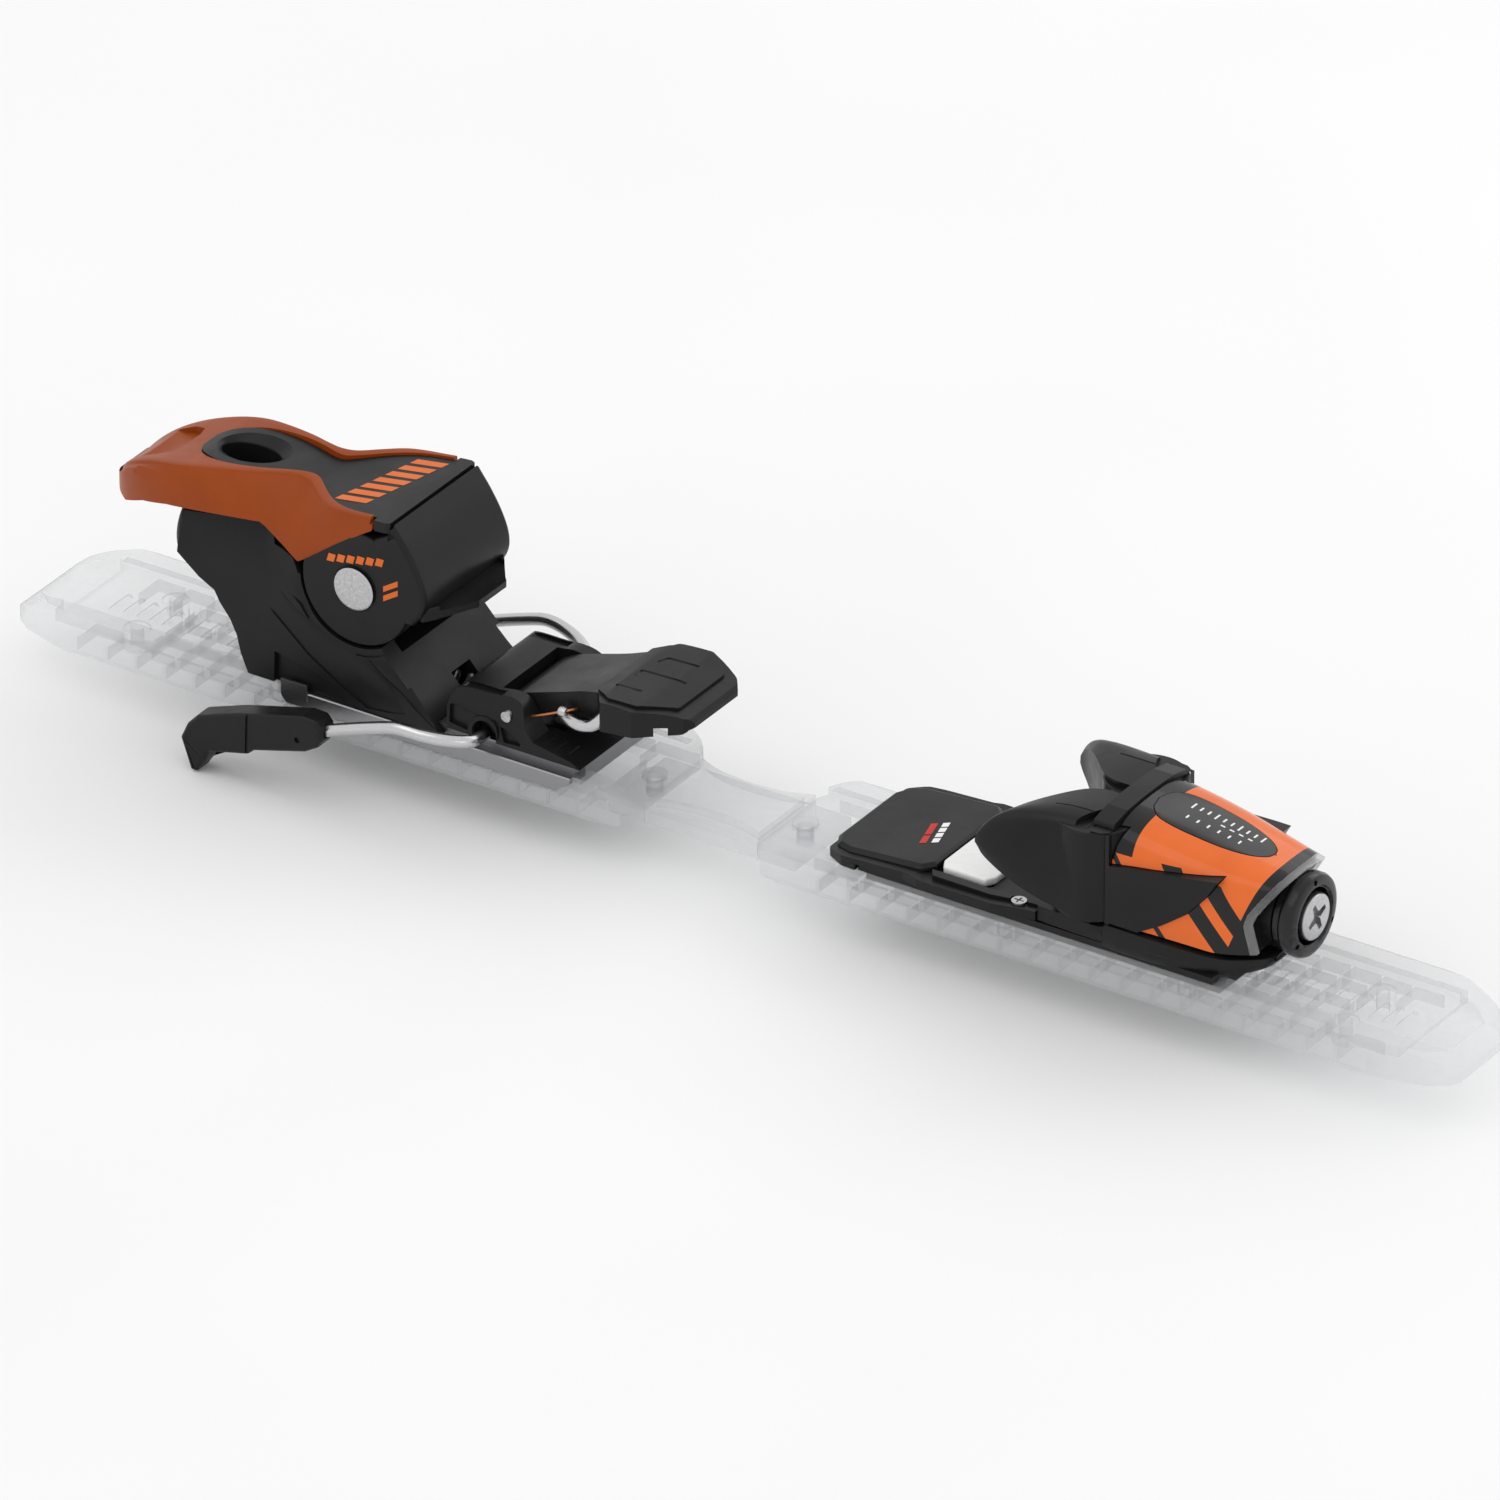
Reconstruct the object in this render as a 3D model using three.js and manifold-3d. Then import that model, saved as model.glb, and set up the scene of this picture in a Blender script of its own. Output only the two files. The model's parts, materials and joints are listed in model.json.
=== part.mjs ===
// Alpine rail binding: a step-in heel, a ski brake and a toe piece that slide on a moulded rail.
// Millimetres, +X towards the ski tip, +Y to the left, +Z up, origin on the underside of the rail.
import * as THREE from "three";
import { mergeVertices } from "three/addons/utils/BufferGeometryUtils.js";
import Module from "manifold-3d";

const wasm = await Module();
wasm.setup();

// ---- driving dimensions ----
const GAP = 0.4; // running clearance between neighbouring pieces
const SIDES = [["right", -1], ["left", 1]];

const RAIL = {
  half: 30, // half width
  rear: -324.5,
  front: 324.5,
  heelFront: -36,
  toeRear: 16,
  rimTop: 16,
  lipUnder: 13,
  slotHalf: 20.5, // narrow mouth of the guide slot
  grooveHalf: 24.5, // undercut that holds the slider flanges
  floorTop: 8,
  floorUnder: 5.5,
  wall: 2.5,
  ribPitch: 13.5,
  ribHalf: 1.1,
  toothPitch: 6,
  toothLength: 2.4,
  toothHalf: 6,
  toothHeight: 1.5,
  tipSlope: 31, // length over which the free end slopes down
  tipSolid: 22, // the free end has no guide slot this far in
  pocketStart: 34, // the ribbed underside starts this far in
  bossHalf: 14, // half width of the bosses under the slot floor
  screwHoles: [52, 120, 200], // distances from the free end
  screwHoleY: 13,
  screwHoleR: 2.6,
  pinInset: 8, // link pin to the joint end
  pinHoleR: 3.4,
};
const SLIDER = { flangeHalf: 24.1, neckHalf: 20.1, under: 10.2, flangeTop: 12.6, seat: 16.6 };
const HEEL_PIN = { x: -160.1, z: 68.1, r: 4, bore: 4.4, headR: 8.85, headFrom: 30.3, headTo: 31.3 };
const DISC_R = 24.3; // side discs of the heel cup
const TOWER = { half: 31, cradleR: 28.2, hollowHalf: 21.8, plateIn: 18, plateOut: 21.6, under: 20.4 };
const EAR = { inner: 14, outer: 17.6, r: 11 }; // lever ears on the pin
const LEVER = { halfWidth: 30, hollowHalf: 25, hole: { x: -227, rx: 12, ry: 7 } };
const SOCKET = { rx: 14.5, ry: 9.5, under: 81.5, floor: 84 }; // cup below the lever's pole hole
const CUP = { half: 29.8, hollowHalf: 25.8, discFrom: 22 };
const BARREL = { z: 56.2, r: 17, bore: 12, rear: -244.2, front: -190 };
const BRAKE = { x: -101, y: 33, z: 20.8, wire: 2.5, armY: 50.4 };
const PEDAL_PIN = { x: -92, z: 33, r: 2.2, bore: 2.6 };
const FOOT = { inner: 45.4, outer: 55.4 };
const PAD = { x0: 97.6, x1: 122.4, half: 23.4, floor: 21.8 }; // recess of the slide pad
const SOLE_SCREW = { x: 137, y: 27, headR: 3, shankR: 1.5, seat: 22.4 };
const WING_PIN = { x: 165, y: 17, r: 16.4, bore: 3.4 };
const TOE_AXIS = { z: 40, bore: 11 };
const HOOD_SKIN = 2.2;
const LENS = { x: 209, rx: 24, ry: 11 };
const LATCH = { heel: -168, toe: 150, windowHalfX: 7, windowHalfY: 9 };

// ---- geometry helpers ----
function solid(geometry) {
  const g = geometry.index ? geometry.toNonIndexed() : geometry.clone();
  g.deleteAttribute("normal");
  g.deleteAttribute("uv");
  const merged = mergeVertices(g, 1e-4);
  return new wasm.Manifold(
    new wasm.Mesh({
      numProp: 3,
      vertProperties: merged.attributes.position.array,
      triVerts: new Uint32Array(merged.index.array),
    }),
  );
}

const outline = (points) => new THREE.Shape(points.map(([a, b]) => new THREE.Vector2(a, b)));

// A closed outline in the X-Z plane, pulled out along Y.
function sideSlab(points, y0, y1) {
  const g = new THREE.ExtrudeGeometry(outline(points), { depth: y1 - y0, bevelEnabled: false });
  return solid(g.rotateX(Math.PI / 2).translate(0, y1, 0));
}

// A closed outline in the X-Y plane, pulled up along Z.
function planSlab(points, z0, z1) {
  const g = new THREE.ExtrudeGeometry(outline(points), { depth: z1 - z0, bevelEnabled: false });
  return solid(g.translate(0, 0, z0));
}

// A closed outline in the Y-Z plane, pulled out along X.
function crossSlab(points, x0, x1) {
  const g = new THREE.ExtrudeGeometry(outline(points), { depth: x1 - x0, bevelEnabled: false });
  const turn = new THREE.Matrix4().set(0, 0, 1, x0, 1, 0, 0, 0, 0, 1, 0, 0, 0, 0, 0, 1);
  return solid(g.applyMatrix4(turn));
}

function box(x0, x1, y0, y1, z0, z1) {
  const g = new THREE.BoxGeometry(x1 - x0, y1 - y0, z1 - z0);
  return solid(g.translate((x0 + x1) / 2, (y0 + y1) / 2, (z0 + z1) / 2));
}

// Cylinders along each axis, given the two end positions and the centre line.
function rodX(r, x0, x1, y, z, sides = 32) {
  const g = new THREE.CylinderGeometry(r, r, x1 - x0, sides).rotateZ(Math.PI / 2);
  return solid(g.translate((x0 + x1) / 2, y, z));
}
function rodY(r, y0, y1, x, z, sides = 32) {
  const g = new THREE.CylinderGeometry(r, r, y1 - y0, sides);
  return solid(g.translate(x, (y0 + y1) / 2, z));
}
function rodZ(r, z0, z1, x, y, sides = 32) {
  const g = new THREE.CylinderGeometry(r, r, z1 - z0, sides).rotateX(Math.PI / 2);
  return solid(g.translate(x, y, (z0 + z1) / 2));
}

// A round bar along a smooth curve through the given points.
function bar(points, r, steps, sides = 10) {
  const curve = new THREE.CatmullRomCurve3(points.map((p) => new THREE.Vector3(...p)));
  return solid(alongCurve(curve, r, steps, sides));
}
function alongCurve(curve, r, steps, sides) {
  const ring = new THREE.Shape();
  for (let i = 0; i < sides; i++) {
    const a = (i / sides) * 2 * Math.PI;
    if (i) ring.lineTo(r * Math.cos(a), r * Math.sin(a));
    else ring.moveTo(r * Math.cos(a), r * Math.sin(a));
  }
  return new THREE.ExtrudeGeometry(ring, { steps, extrudePath: curve, bevelEnabled: false });
}

// A compression spring whose axis runs along X.
class Coil extends THREE.Curve {
  constructor(x0, x1, z, radius, turns) {
    super();
    Object.assign(this, { x0, x1, z, radius, turns });
  }
  getPoint(t, target = new THREE.Vector3()) {
    const a = t * this.turns * 2 * Math.PI;
    const x = this.x0 + (this.x1 - this.x0) * t;
    return target.set(x, this.radius * Math.cos(a), this.z + this.radius * Math.sin(a));
  }
}
const coilX = (x0, x1, z, radius, wire, turns) =>
  solid(alongCurve(new Coil(x0, x1, z, radius, turns), wire, turns * 8, 5));

const span = (a, b) => [Math.min(a, b), Math.max(a, b)];
const both = (half) => [-half, half];
const mirrorY = (right) => [...right, ...right.map(([y, z]) => [-y, z]).reverse()];
const mirrored = (right) => [...right, ...right.map(([a, b]) => [a, -b]).reverse()];

// ---- materials ----
const finish = (color, roughness, metalness = 0) =>
  new THREE.MeshStandardMaterial({ color, roughness, metalness });
const BLACK = finish(0x1b1b1c, 0.5);
const ORANGE = finish(0xb5541c, 0.42);
const BRIGHT = finish(0xf07a2e, 0.3);
const CLEAR = finish(0xe6e8ea, 0.25);
const STEEL = finish(0xc9cacc, 0.25, 1);
const WHITE = finish(0xf2f2f0, 0.4);
const SPRING = finish(0x8d8f92, 0.35, 1);

const binding = new THREE.Group();
function add(name, body, material) {
  const m = body.getMesh();
  const g = new THREE.BufferGeometry();
  g.setAttribute("position", new THREE.BufferAttribute(m.vertProperties, 3));
  g.setIndex(new THREE.BufferAttribute(m.triVerts, 1));
  g.computeVertexNormals();
  const mesh = new THREE.Mesh(g, material);
  mesh.name = name;
  binding.add(mesh);
}

// ---- rail ----
function railSection() {
  const { half, rimTop, slotHalf, lipUnder, grooveHalf, floorTop } = RAIL;
  return [
    [-half, 0], [half, 0], [half, rimTop - 1.5], [half - 1.5, rimTop], [slotHalf, rimTop],
    [slotHalf, lipUnder], [grooveHalf, lipUnder], [grooveHalf, floorTop],
    [-grooveHalf, floorTop], [-grooveHalf, lipUnder], [-slotHalf, lipUnder],
    [-slotHalf, rimTop], [-half + 1.5, rimTop], [-half, rimTop - 1.5],
  ];
}

// One guide plate: ribbed underneath, with a rack of teeth along the slot floor.
// `tip` is the free end, `joint` the end that meets the link.
function railPlate(tip, joint, teeth) {
  const way = Math.sign(tip - joint);
  const at = (d) => tip - way * d; // distance in from the free end
  const { half, floorTop, floorUnder, rimTop, wall, tipSlope, tipSolid, bossHalf } = RAIL;
  const plan = mirrored([
    [joint, half], [at(tipSlope), half], [at(9), half - 5], [at(2), half - 9], [tip, half - 13],
  ]);
  const slope = [
    [tip, 0], [tip, 5], [at(5), 9], [at(tipSlope), rimTop], [joint, rimTop], [joint, 0],
  ];
  const nose = crossSlab([[-half, 0], [half, 0], [half, rimTop], [-half, rimTop]],
    ...span(tip, at(tipSolid)));
  let plate = crossSlab(railSection(), ...span(tip, joint)).add(nose);
  plate = plate.intersect(planSlab(plan, 0, rimTop)).intersect(sideSlab(slope, -half, half));
  const inner = half - wall;
  plate = plate.subtract(box(...span(at(RAIL.pocketStart), joint), -inner, inner, -1, floorUnder));
  // cross ribs, then a boss at each end of the ribbed length
  const solder = 0.2; // overlap that fuses added pieces
  const { ribPitch, ribHalf } = RAIL;
  const lastRib = Math.abs(tip - joint) - 20;
  for (let d = RAIL.pocketStart + ribPitch; d < lastRib; d += ribPitch)
    plate = plate.add(box(at(d) - ribHalf, at(d) + ribHalf, -inner - solder, inner + solder, 0,
      floorUnder + solder));
  for (const ends of [[at(30), at(60)], [joint + way * 21, joint + way * 39]])
    plate = plate.add(box(...span(...ends), -bossHalf, bossHalf, 0, floorUnder + solder));
  const { toothPitch, toothLength, toothHalf, toothHeight } = RAIL;
  for (let x = teeth[0]; x <= teeth[1]; x += toothPitch)
    plate = plate.add(box(x, x + toothLength, -toothHalf, toothHalf, floorTop - solder,
      floorTop + toothHeight));
  for (const d of RAIL.screwHoles)
    for (const y of both(RAIL.screwHoleY))
      plate = plate.subtract(rodZ(RAIL.screwHoleR, -1, floorTop + 1, at(d), y, 12));
  return plate.subtract(
    rodZ(RAIL.pinHoleR, -1, floorTop + 1, joint + way * RAIL.pinInset, 0, 20));
}

// The waisted strip that ties both plates together, with a tongue under each plate.
function railLink() {
  const { heelFront: a, toeRear: b, half, floorUnder, wall, pinInset, pinHoleR } = RAIL;
  const top = 7;
  const narrow = half - 16;
  const waist = mirrored([
    [b - GAP, half], [b - 7, half - 3], [b - 12, half - 12], [b - 16, narrow],
    [a + 16, narrow], [a + 12, half - 12], [a + 7, half - 3], [a + GAP, half],
  ]);
  const tongue = half - wall - 8;
  const strap = box(a - 16, b + 16, -tongue, tongue, 0, floorUnder - GAP);
  const scoop = box(a + 18, b - 18, -8, 8, 4.5, top + 1);
  let link = planSlab(waist, 0, top).add(strap).subtract(scoop);
  for (const x of [a - pinInset, b + pinInset])
    link = link.subtract(rodZ(pinHoleR, -1, top + 1, x, 0, 20));
  return link;
}

// Headed pin, dropped through the plate into the tongue.
const linkPin = (x) => rodZ(3, 0.4, 8.6, x, 0, 20).add(rodZ(5, 8.4, 9.8, x, 0, 24));

// ---- sliders: what the rail guides ----
function sliderSection(topHalf, top) {
  const { flangeHalf, neckHalf, under, flangeTop, seat } = SLIDER;
  const left = [
    [flangeHalf, under], [flangeHalf, flangeTop], [neckHalf, flangeTop], [neckHalf, seat],
    [topHalf, seat], [topHalf, top],
  ];
  return mirrorY(left);
}

// Window in a slider for its rack pawl.
const latchWindow = (x) => {
  const { windowHalfX: a, windowHalfY: b } = LATCH;
  return box(x - a, x + a, -b, b, 0, 30);
};

function heelCarriage() {
  const top = 20;
  const half = 27.4;
  const deck = crossSlab(sliderSection(half, top), -194, -62);
  const tail = box(-206, -193, -half, half, SLIDER.seat, top);
  const trough = box(-162, -121, -6.5, 6.5, 13.4, 30); // room for the pressure spring
  return deck.add(tail).subtract(latchWindow(LATCH.heel)).subtract(trough);
}

// Rack pawls sit in a window of their slider.
function latch(x) {
  const body = box(x - 5, x + 5, -7, 7, 11.5, 18);
  const teeth = box(x - 2.2, x + 2.2, -5.4, 5.4, 10, 12);
  return body.add(teeth);
}

// ---- heel tower ----
const ellipse = (cx, rx, ry, n = 24) =>
  Array.from({ length: n }, (_, i) => {
    const a = (i / n) * 2 * Math.PI;
    return [cx + rx * Math.cos(a), ry * Math.sin(a)];
  });
const arc = (cx, cz, r, from, to, n) =>
  Array.from({ length: n + 1 }, (_, i) => {
    const a = THREE.MathUtils.degToRad(from + ((to - from) * i) / n);
    return [cx + r * Math.cos(a), cz + r * Math.sin(a)];
  });

function heelTower() {
  const { x, z, bore } = HEEL_PIN;
  const { half, cradleR, hollowHalf, plateIn, plateOut, under } = TOWER;
  // outer cheeks: a cradle around the cup discs that runs down to the rail
  const cheek = [
    [-121, 16.8], [-124, 20], ...arc(x, z, cradleR, -62, -178, 16), [-200, 71], [-203, 80],
    [-243, 73.5], [-243, 58], [-232, 51], [-224, 47], [-220, 42], [-214, 33], [-212, 22],
    [-209, 16.8],
  ];
  const flare = crossSlab(mirrorY([[half, 16], [half, 46], [20, 84]]), -250, -186);
  const frontPart = box(-186, -110, -half, half, 16, 100);
  let tower = sideSlab(cheek, -half, half).intersect(flare.add(frontPart));
  // hollow between the cheeks, ahead of the spring housing
  const backWall = -187;
  tower = tower.subtract(box(backWall, -140, -hollowHalf, hollowHalf, 41.5, 110));
  for (const s of [-1, 1]) {
    // room for the cup disc, then an inner plate that carries the pin
    tower = tower.subtract(rodY(DISC_R + 0.7, ...span(s * plateOut, s * (half + 1)), x, z, 48));
    const [a, b] = span(s * plateIn, s * plateOut);
    tower = tower.add(rodY(12, a, b, x, z, 28)).add(box(x - 11, x + 10, a, b, 36, z));
  }
  tower = tower
    .subtract(rodY(bore, -half - 1, half + 1, x, z, 24))
    .subtract(box(-215, -100, -27.9, 27.9, 10, under)) // the carriage passes between the cheeks
    .subtract(box(-164, -100, -6.2, 6.2, 10, 29)) // pressure spring tunnel
    .subtract(rodX(BARREL.bore + GAP, -250, BARREL.front + 10, 0, BARREL.z, 32))
    .subtract(box(backWall - 0.1, -186, -19, 19, 41.5, 90));
  // flutes along the flanks
  const flutes = [[-217, 52, -150, 23], [-212, 61, -176, 40]];
  for (const s of [-1, 1])
    for (const [x0, z0, x1, z1] of flutes) {
      const y = s * (half + 0.8);
      const middle = [(x0 + x1) / 2, y, (z0 + z1) / 2 - 1.5];
      tower = tower.subtract(bar([[x0, y, z0], middle, [x1, y, z1]], 1.5, 6, 6));
    }
  return tower;
}

function heelPivotPin() {
  const { x, z, r, headR, headFrom, headTo } = HEEL_PIN;
  return rodY(r, -headFrom - 0.2, 29.4, x, z, 24).add(rodY(headR, -headTo, -headFrom, x, z, 40));
}
function heelPinCap() {
  const { x, z, headR, headFrom, headTo } = HEEL_PIN;
  return rodY(headR, headFrom, headTo, x, z, 40).add(rodY(3.6, 29.8, headFrom + 0.1, x, z, 24));
}

function heelDinScrew() {
  const { z, r, rear } = BARREL;
  const head = rodX(r, rear - 8.4, rear - GAP, 0, z, 40);
  const boss = rodX(r - 3, rear - 9.4, rear - 8.2, 0, z, 40);
  const shaft = rodX(4.5, rear - 1, rear + 30, 0, z, 20);
  const slot = box(rear - 10, rear - 7, -8, 8, z - 1.3, z + 1.3);
  return head.add(boss).add(shaft).subtract(slot);
}
function springNut(x, z, bore, hole) {
  return rodX(bore - 0.6, x, x + 5, 0, z, 28).subtract(rodX(hole, x - 1, x + 6, 0, z, 20));
}
function heelPiston() {
  const { z, front, bore } = BARREL;
  const crown = rodX(bore - 0.6, front - 9, front + 3, 0, z, 28);
  return crown.add(rodX(6, front + 2, front + 8, 0, z, 20));
}

// ---- heel lever and cup ----
const LEVER_TOP = [
  [-281, 72], [-267, 85], [-242, 95.5], [-226, 96.5], [-197, 96.5], [-178, 98.8], [-152, 101],
];
const LEVER_LOW = [
  [-155, 94], [-171, 84.5], [-187, 72], [-194, 77], [-203, 84.5], [-249, 76], [-262, 72.5],
  [-278, 66],
];
const INSERT_PLAN = mirrored([
  [-247, 4], [-242, 10], [-232, 15], [-216, 14], [-205, 12], [-191, 9], [-184, 15], [-172, 24],
  [-157, 28.6], [-144.2, 28.9],
]);

function leverFrame() {
  const { halfWidth, hollowHalf } = LEVER;
  const [rear, bend, front] = [-290, -186, -140];
  const plan = mirrored([
    [-281, 8], [-278, 15], [-270, 21.5], [-258, 26], [-240, 28.5], [-203, 29.5], [-152, 29.5],
  ]);
  const side = [...LEVER_TOP, ...LEVER_LOW];
  let frame = sideSlab(side, -halfWidth, halfWidth).intersect(planSlab(plan, 60, 110));
  // roof-shaped flanks
  for (const s of [-1, 1]) {
    const wedge = [[s * 18.5, 97], [s * 31, 84], [s * 31, 110], [s * 18.5, 110]];
    frame = frame.subtract(crossSlab(wedge, rear, bend));
  }
  // hollow underside; under the sloping flanks it narrows towards its roof
  const hollow = [
    [-262, 60], [-262, 79], [-244, 90], [-226, 93], [-197, 93], [-178, 95], [-150, 97.5], [-150, 60],
  ];
  const roof = crossSlab(mirrorY([[hollowHalf, 60], [hollowHalf, 83], [16, 92], [16, 99]]), rear, bend);
  const square = box(bend - 0.1, front, -hollowHalf, hollowHalf, 60, 110);
  frame = frame.subtract(sideSlab(hollow, -hollowHalf, hollowHalf).intersect(roof.add(square)));
  return frame.subtract(planSlab(INSERT_PLAN, 89, 110));
}

function leverInsert() {
  const { x, z, bore } = HEEL_PIN;
  const { halfWidth, hole } = LEVER;
  const band = [
    [-250, 89], [-246, 92.6], [-226, 93.8], [-197, 93.8], [-178, 95.8], [-152, 98.2],
    [-144.2, 99], [-144.2, 95.8], [-152, 95], [-178, 92.6], [-197, 90.6], [-226, 90.6],
    [-244, 89],
  ];
  const inset = INSERT_PLAN.map(([a, b]) => [a, b - Math.sign(b) * GAP * 1.6]);
  let insert = sideSlab(band, -halfWidth, halfWidth).intersect(planSlab(inset, 80, 110));
  // blind socket for the pole tip
  const cup = planSlab(ellipse(hole.x, SOCKET.rx, SOCKET.ry), SOCKET.under, 92);
  insert = insert.add(cup).subtract(planSlab(ellipse(hole.x, hole.rx, hole.ry), SOCKET.floor, 110));
  // two ears hang the lever on the pin
  for (const s of [-1, 1]) {
    const [a, b] = span(s * EAR.inner, s * EAR.outer);
    const hanger = [[x - 10, z], [x + 9, z], [x + 6, 97], [x - 15, 96]];
    insert = insert.add(rodY(EAR.r, a, b, x, z, 24)).add(sideSlab(hanger, a, b));
  }
  return insert.subtract(rodY(bore, -32, 32, x, z, 24));
}

const DOME = [[-143.2, 99.2], [-137.7, 92], [-132.4, 83.8], [-129.2, 76], [-128.6, 71], [-129.4, 67]];
function heelCup() {
  const { x, z, bore } = HEEL_PIN;
  const { half, hollowHalf, discFrom } = CUP;
  const back = [[x + 10, 71], [x + 8, 91.5], [-146, 94], [-143.7, 95.2]];
  const inner = [
    [-147, 95], [-141, 89.5], [-136, 82], [-133, 75], [-133, 60], [-180, 60], [-180, 98],
    [-150, 97.5],
  ];
  // the discs clear the underside of the lever arm
  const underArm = [
    [-192, 66.8], [-187, 70.8], [-171, 83.3], [-154.2, 93.1], [-152, 110], [-200, 110],
  ];
  let cup = sideSlab([...DOME, [-141, 67], ...back], -half, half);
  cup = cup.subtract(sideSlab(inner, -hollowHalf, hollowHalf));
  for (const s of [-1, 1]) {
    const [a, b] = span(s * discFrom, s * half);
    cup = cup.add(rodY(DISC_R, a, b, x, z, 48)).subtract(sideSlab(underArm, a - 1, b + 1));
  }
  return cup.subtract(rodY(bore, -32, 32, x, z, 24));
}

// Lip under the cup that the boot heel presses down.
function heelTreadle() {
  const plan = mirrored([
    [-142, 21.2], [-134.8, 21.2], [-134.8, 26], [-130, 27], [-119.5, 11.5], [-117.5, 9],
  ]);
  const side = [[-142, 61], [-142, 66.6], [-117.5, 66.6], [-117.5, 64.6], [-131, 61]];
  return sideSlab(side, -29, 29).intersect(planSlab(plan, 55, 70));
}

// ---- brake ----
function brakeBase() {
  const half = 30;
  const side = [
    [-118.5, 20.5], [-118.5, 30], [-117, 36], [-112, 38], [-100, 38], [-93, 39.5], [-86, 37.5],
    [-83.5, 31], [-80, 25], [-62, 23], [-58, 20.5],
  ];
  const shoulders = crossSlab(mirrorY([[half, 20], [half, 31], [24, 40]]), -120, -57);
  let deck = sideSlab(side, -half, half).intersect(shoulders);
  deck = deck.subtract(box(-100.5, -56, -18.6, 18.6, 26, 50)); // the pedal knuckle sits here
  deck = deck.subtract(box(-112, -75, -15, 15, 15, 30));
  const nick = [[-117, 24], [-110, 24], [-110, 33.5]];
  for (const s of [-1, 1]) {
    const socket = span(s * 24, s * (half + 1)); // the brake wire turns in it
    deck = deck.subtract(rodY(5.4, ...socket, BRAKE.x, 23.6, 20));
    deck = deck.subtract(sideSlab(nick, ...span(s * 28, s * (half + 1))));
  }
  return deck.subtract(rodY(2.4, -half - 1, half + 1, PEDAL_PIN.x, PEDAL_PIN.z, 20));
}

// Outline of the pedal seen from the side: the front is raised.
const PEDAL_SIDE = [
  [-97, 35.5], [-94, 37.4], [-84, 40.6], [-62, 48], [-52, 51], [-34, 51.6], [-22, 50.6],
  [-16.4, 48.4], [-16, 45], [-21, 42.4], [-50, 38.6], [-66, 35.6], [-84, 31.4], [-90, 28.8],
  [-95, 30],
];
function brakePedal() {
  const plan = mirrored([
    [-97, 17.8], [-81.5, 17.8], [-81, 27], [-54, 28], [-36, 28], [-18, 18], [-16, 14],
  ]);
  const hollow = [[-78, 20], [-78, 35], [-58, 44], [-24, 46], [-24, 20]];
  return sideSlab(PEDAL_SIDE, -28.5, 28.5)
    .intersect(planSlab(plan, 20, 60))
    .subtract(sideSlab(hollow, -24, 24))
    .subtract(rodY(PEDAL_PIN.bore, -31, 31, PEDAL_PIN.x, PEDAL_PIN.z, 20));
}

function pedalPad() {
  const plan = mirrored([[-58, 20], [-50, 25], [-36, 25], [-23, 16.5]]);
  const side = [
    [-58, 49.6], [-52, 51.5], [-34, 52], [-23, 51.2], [-23, 52.6], [-34, 54], [-52, 53.6],
    [-58, 51.6],
  ];
  let pad = sideSlab(side, -26, 26).intersect(planSlab(plan, 40, 60));
  for (const x of [-50, -43, -36]) pad = pad.subtract(box(x, x + 1.6, -17, 17, 53, 56)); // grip slots
  return pad;
}

// steel loop that joins the pedal to the pivots
function pedalLoop() {
  const half = 12.4;
  const path = [
    [-70, -half, 31.5], [-62, -half, 35.5], [-54, -half, 38.4], [-50.4, -half + 4, 39.4],
    [-50, 0, 39.6], [-50.4, half - 4, 39.4], [-54, half, 38.4], [-62, half, 35.5], [-70, half, 31.5],
  ];
  return bar(path, BRAKE.wire, 22, 8);
}
const pedalPin = () => rodY(PEDAL_PIN.r, -29.6, 29.6, PEDAL_PIN.x, PEDAL_PIN.z, 20);

function brakeArm(s) {
  const { x, y, z, armY, wire } = BRAKE;
  const path = [
    [-166, armY, 13.6], [-150, armY, 19.4], [-136, armY, 24.2], [-127, armY, 26.6], [-118, armY, 27.2],
    [-109, armY - 1.4, 26.4], [x - 0.5, armY - 7, 24.8], [x, y + 4, 23.8], [x, y - 4.2, 23.6],
  ];
  return bar(path.map(([a, b, c]) => [a, s * b, c]), wire, 24, 8);
}
function brakeFoot(s) {
  const side = [
    [-224, -4.4], [-221, 2.3], [-216.5, 7.1], [-198.4, 13.6], [-166.8, 21.7], [-161.4, 21.2],
    [-159.4, 18.7], [-159, 13.2], [-161.4, 9.9], [-166.8, 6.5], [-191.6, -0.3], [-195.2, -3.2],
    [-211, -7], [-212.8, -11.4], [-217.8, -17.6], [-219.6, -16.4],
  ];
  const y = s * BRAKE.armY;
  const bore = bar([[-180, y, 8.5], [-166, y, 13.6], [-150, y, 19.4]], BRAKE.wire + GAP, 12, 12);
  return sideSlab(side, ...span(s * FOOT.inner, s * FOOT.outer)).subtract(bore);
}

// ---- toe ----
function toeBase() {
  const [deckTop, flankHalf, noseHalf] = [19.4, 30, 24];
  const deck = crossSlab(sliderSection(flankHalf, deckTop), 67, 224);
  const nose = [
    [215, SLIDER.seat], [229, SLIDER.seat], [236, 19], [240, 26], [215, 26],
  ];
  const flank = [[176, 19], [226, 19], [231, 24], [196, 27.5], [176, 27.5]];
  return deck
    .add(sideSlab(nose, -noseHalf, noseHalf))
    .add(sideSlab(flank, -flankHalf, flankHalf))
    .subtract(latchWindow(LATCH.toe))
    .subtract(box(50, 175.8, -31, 31, deckTop, 40));
}

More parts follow.
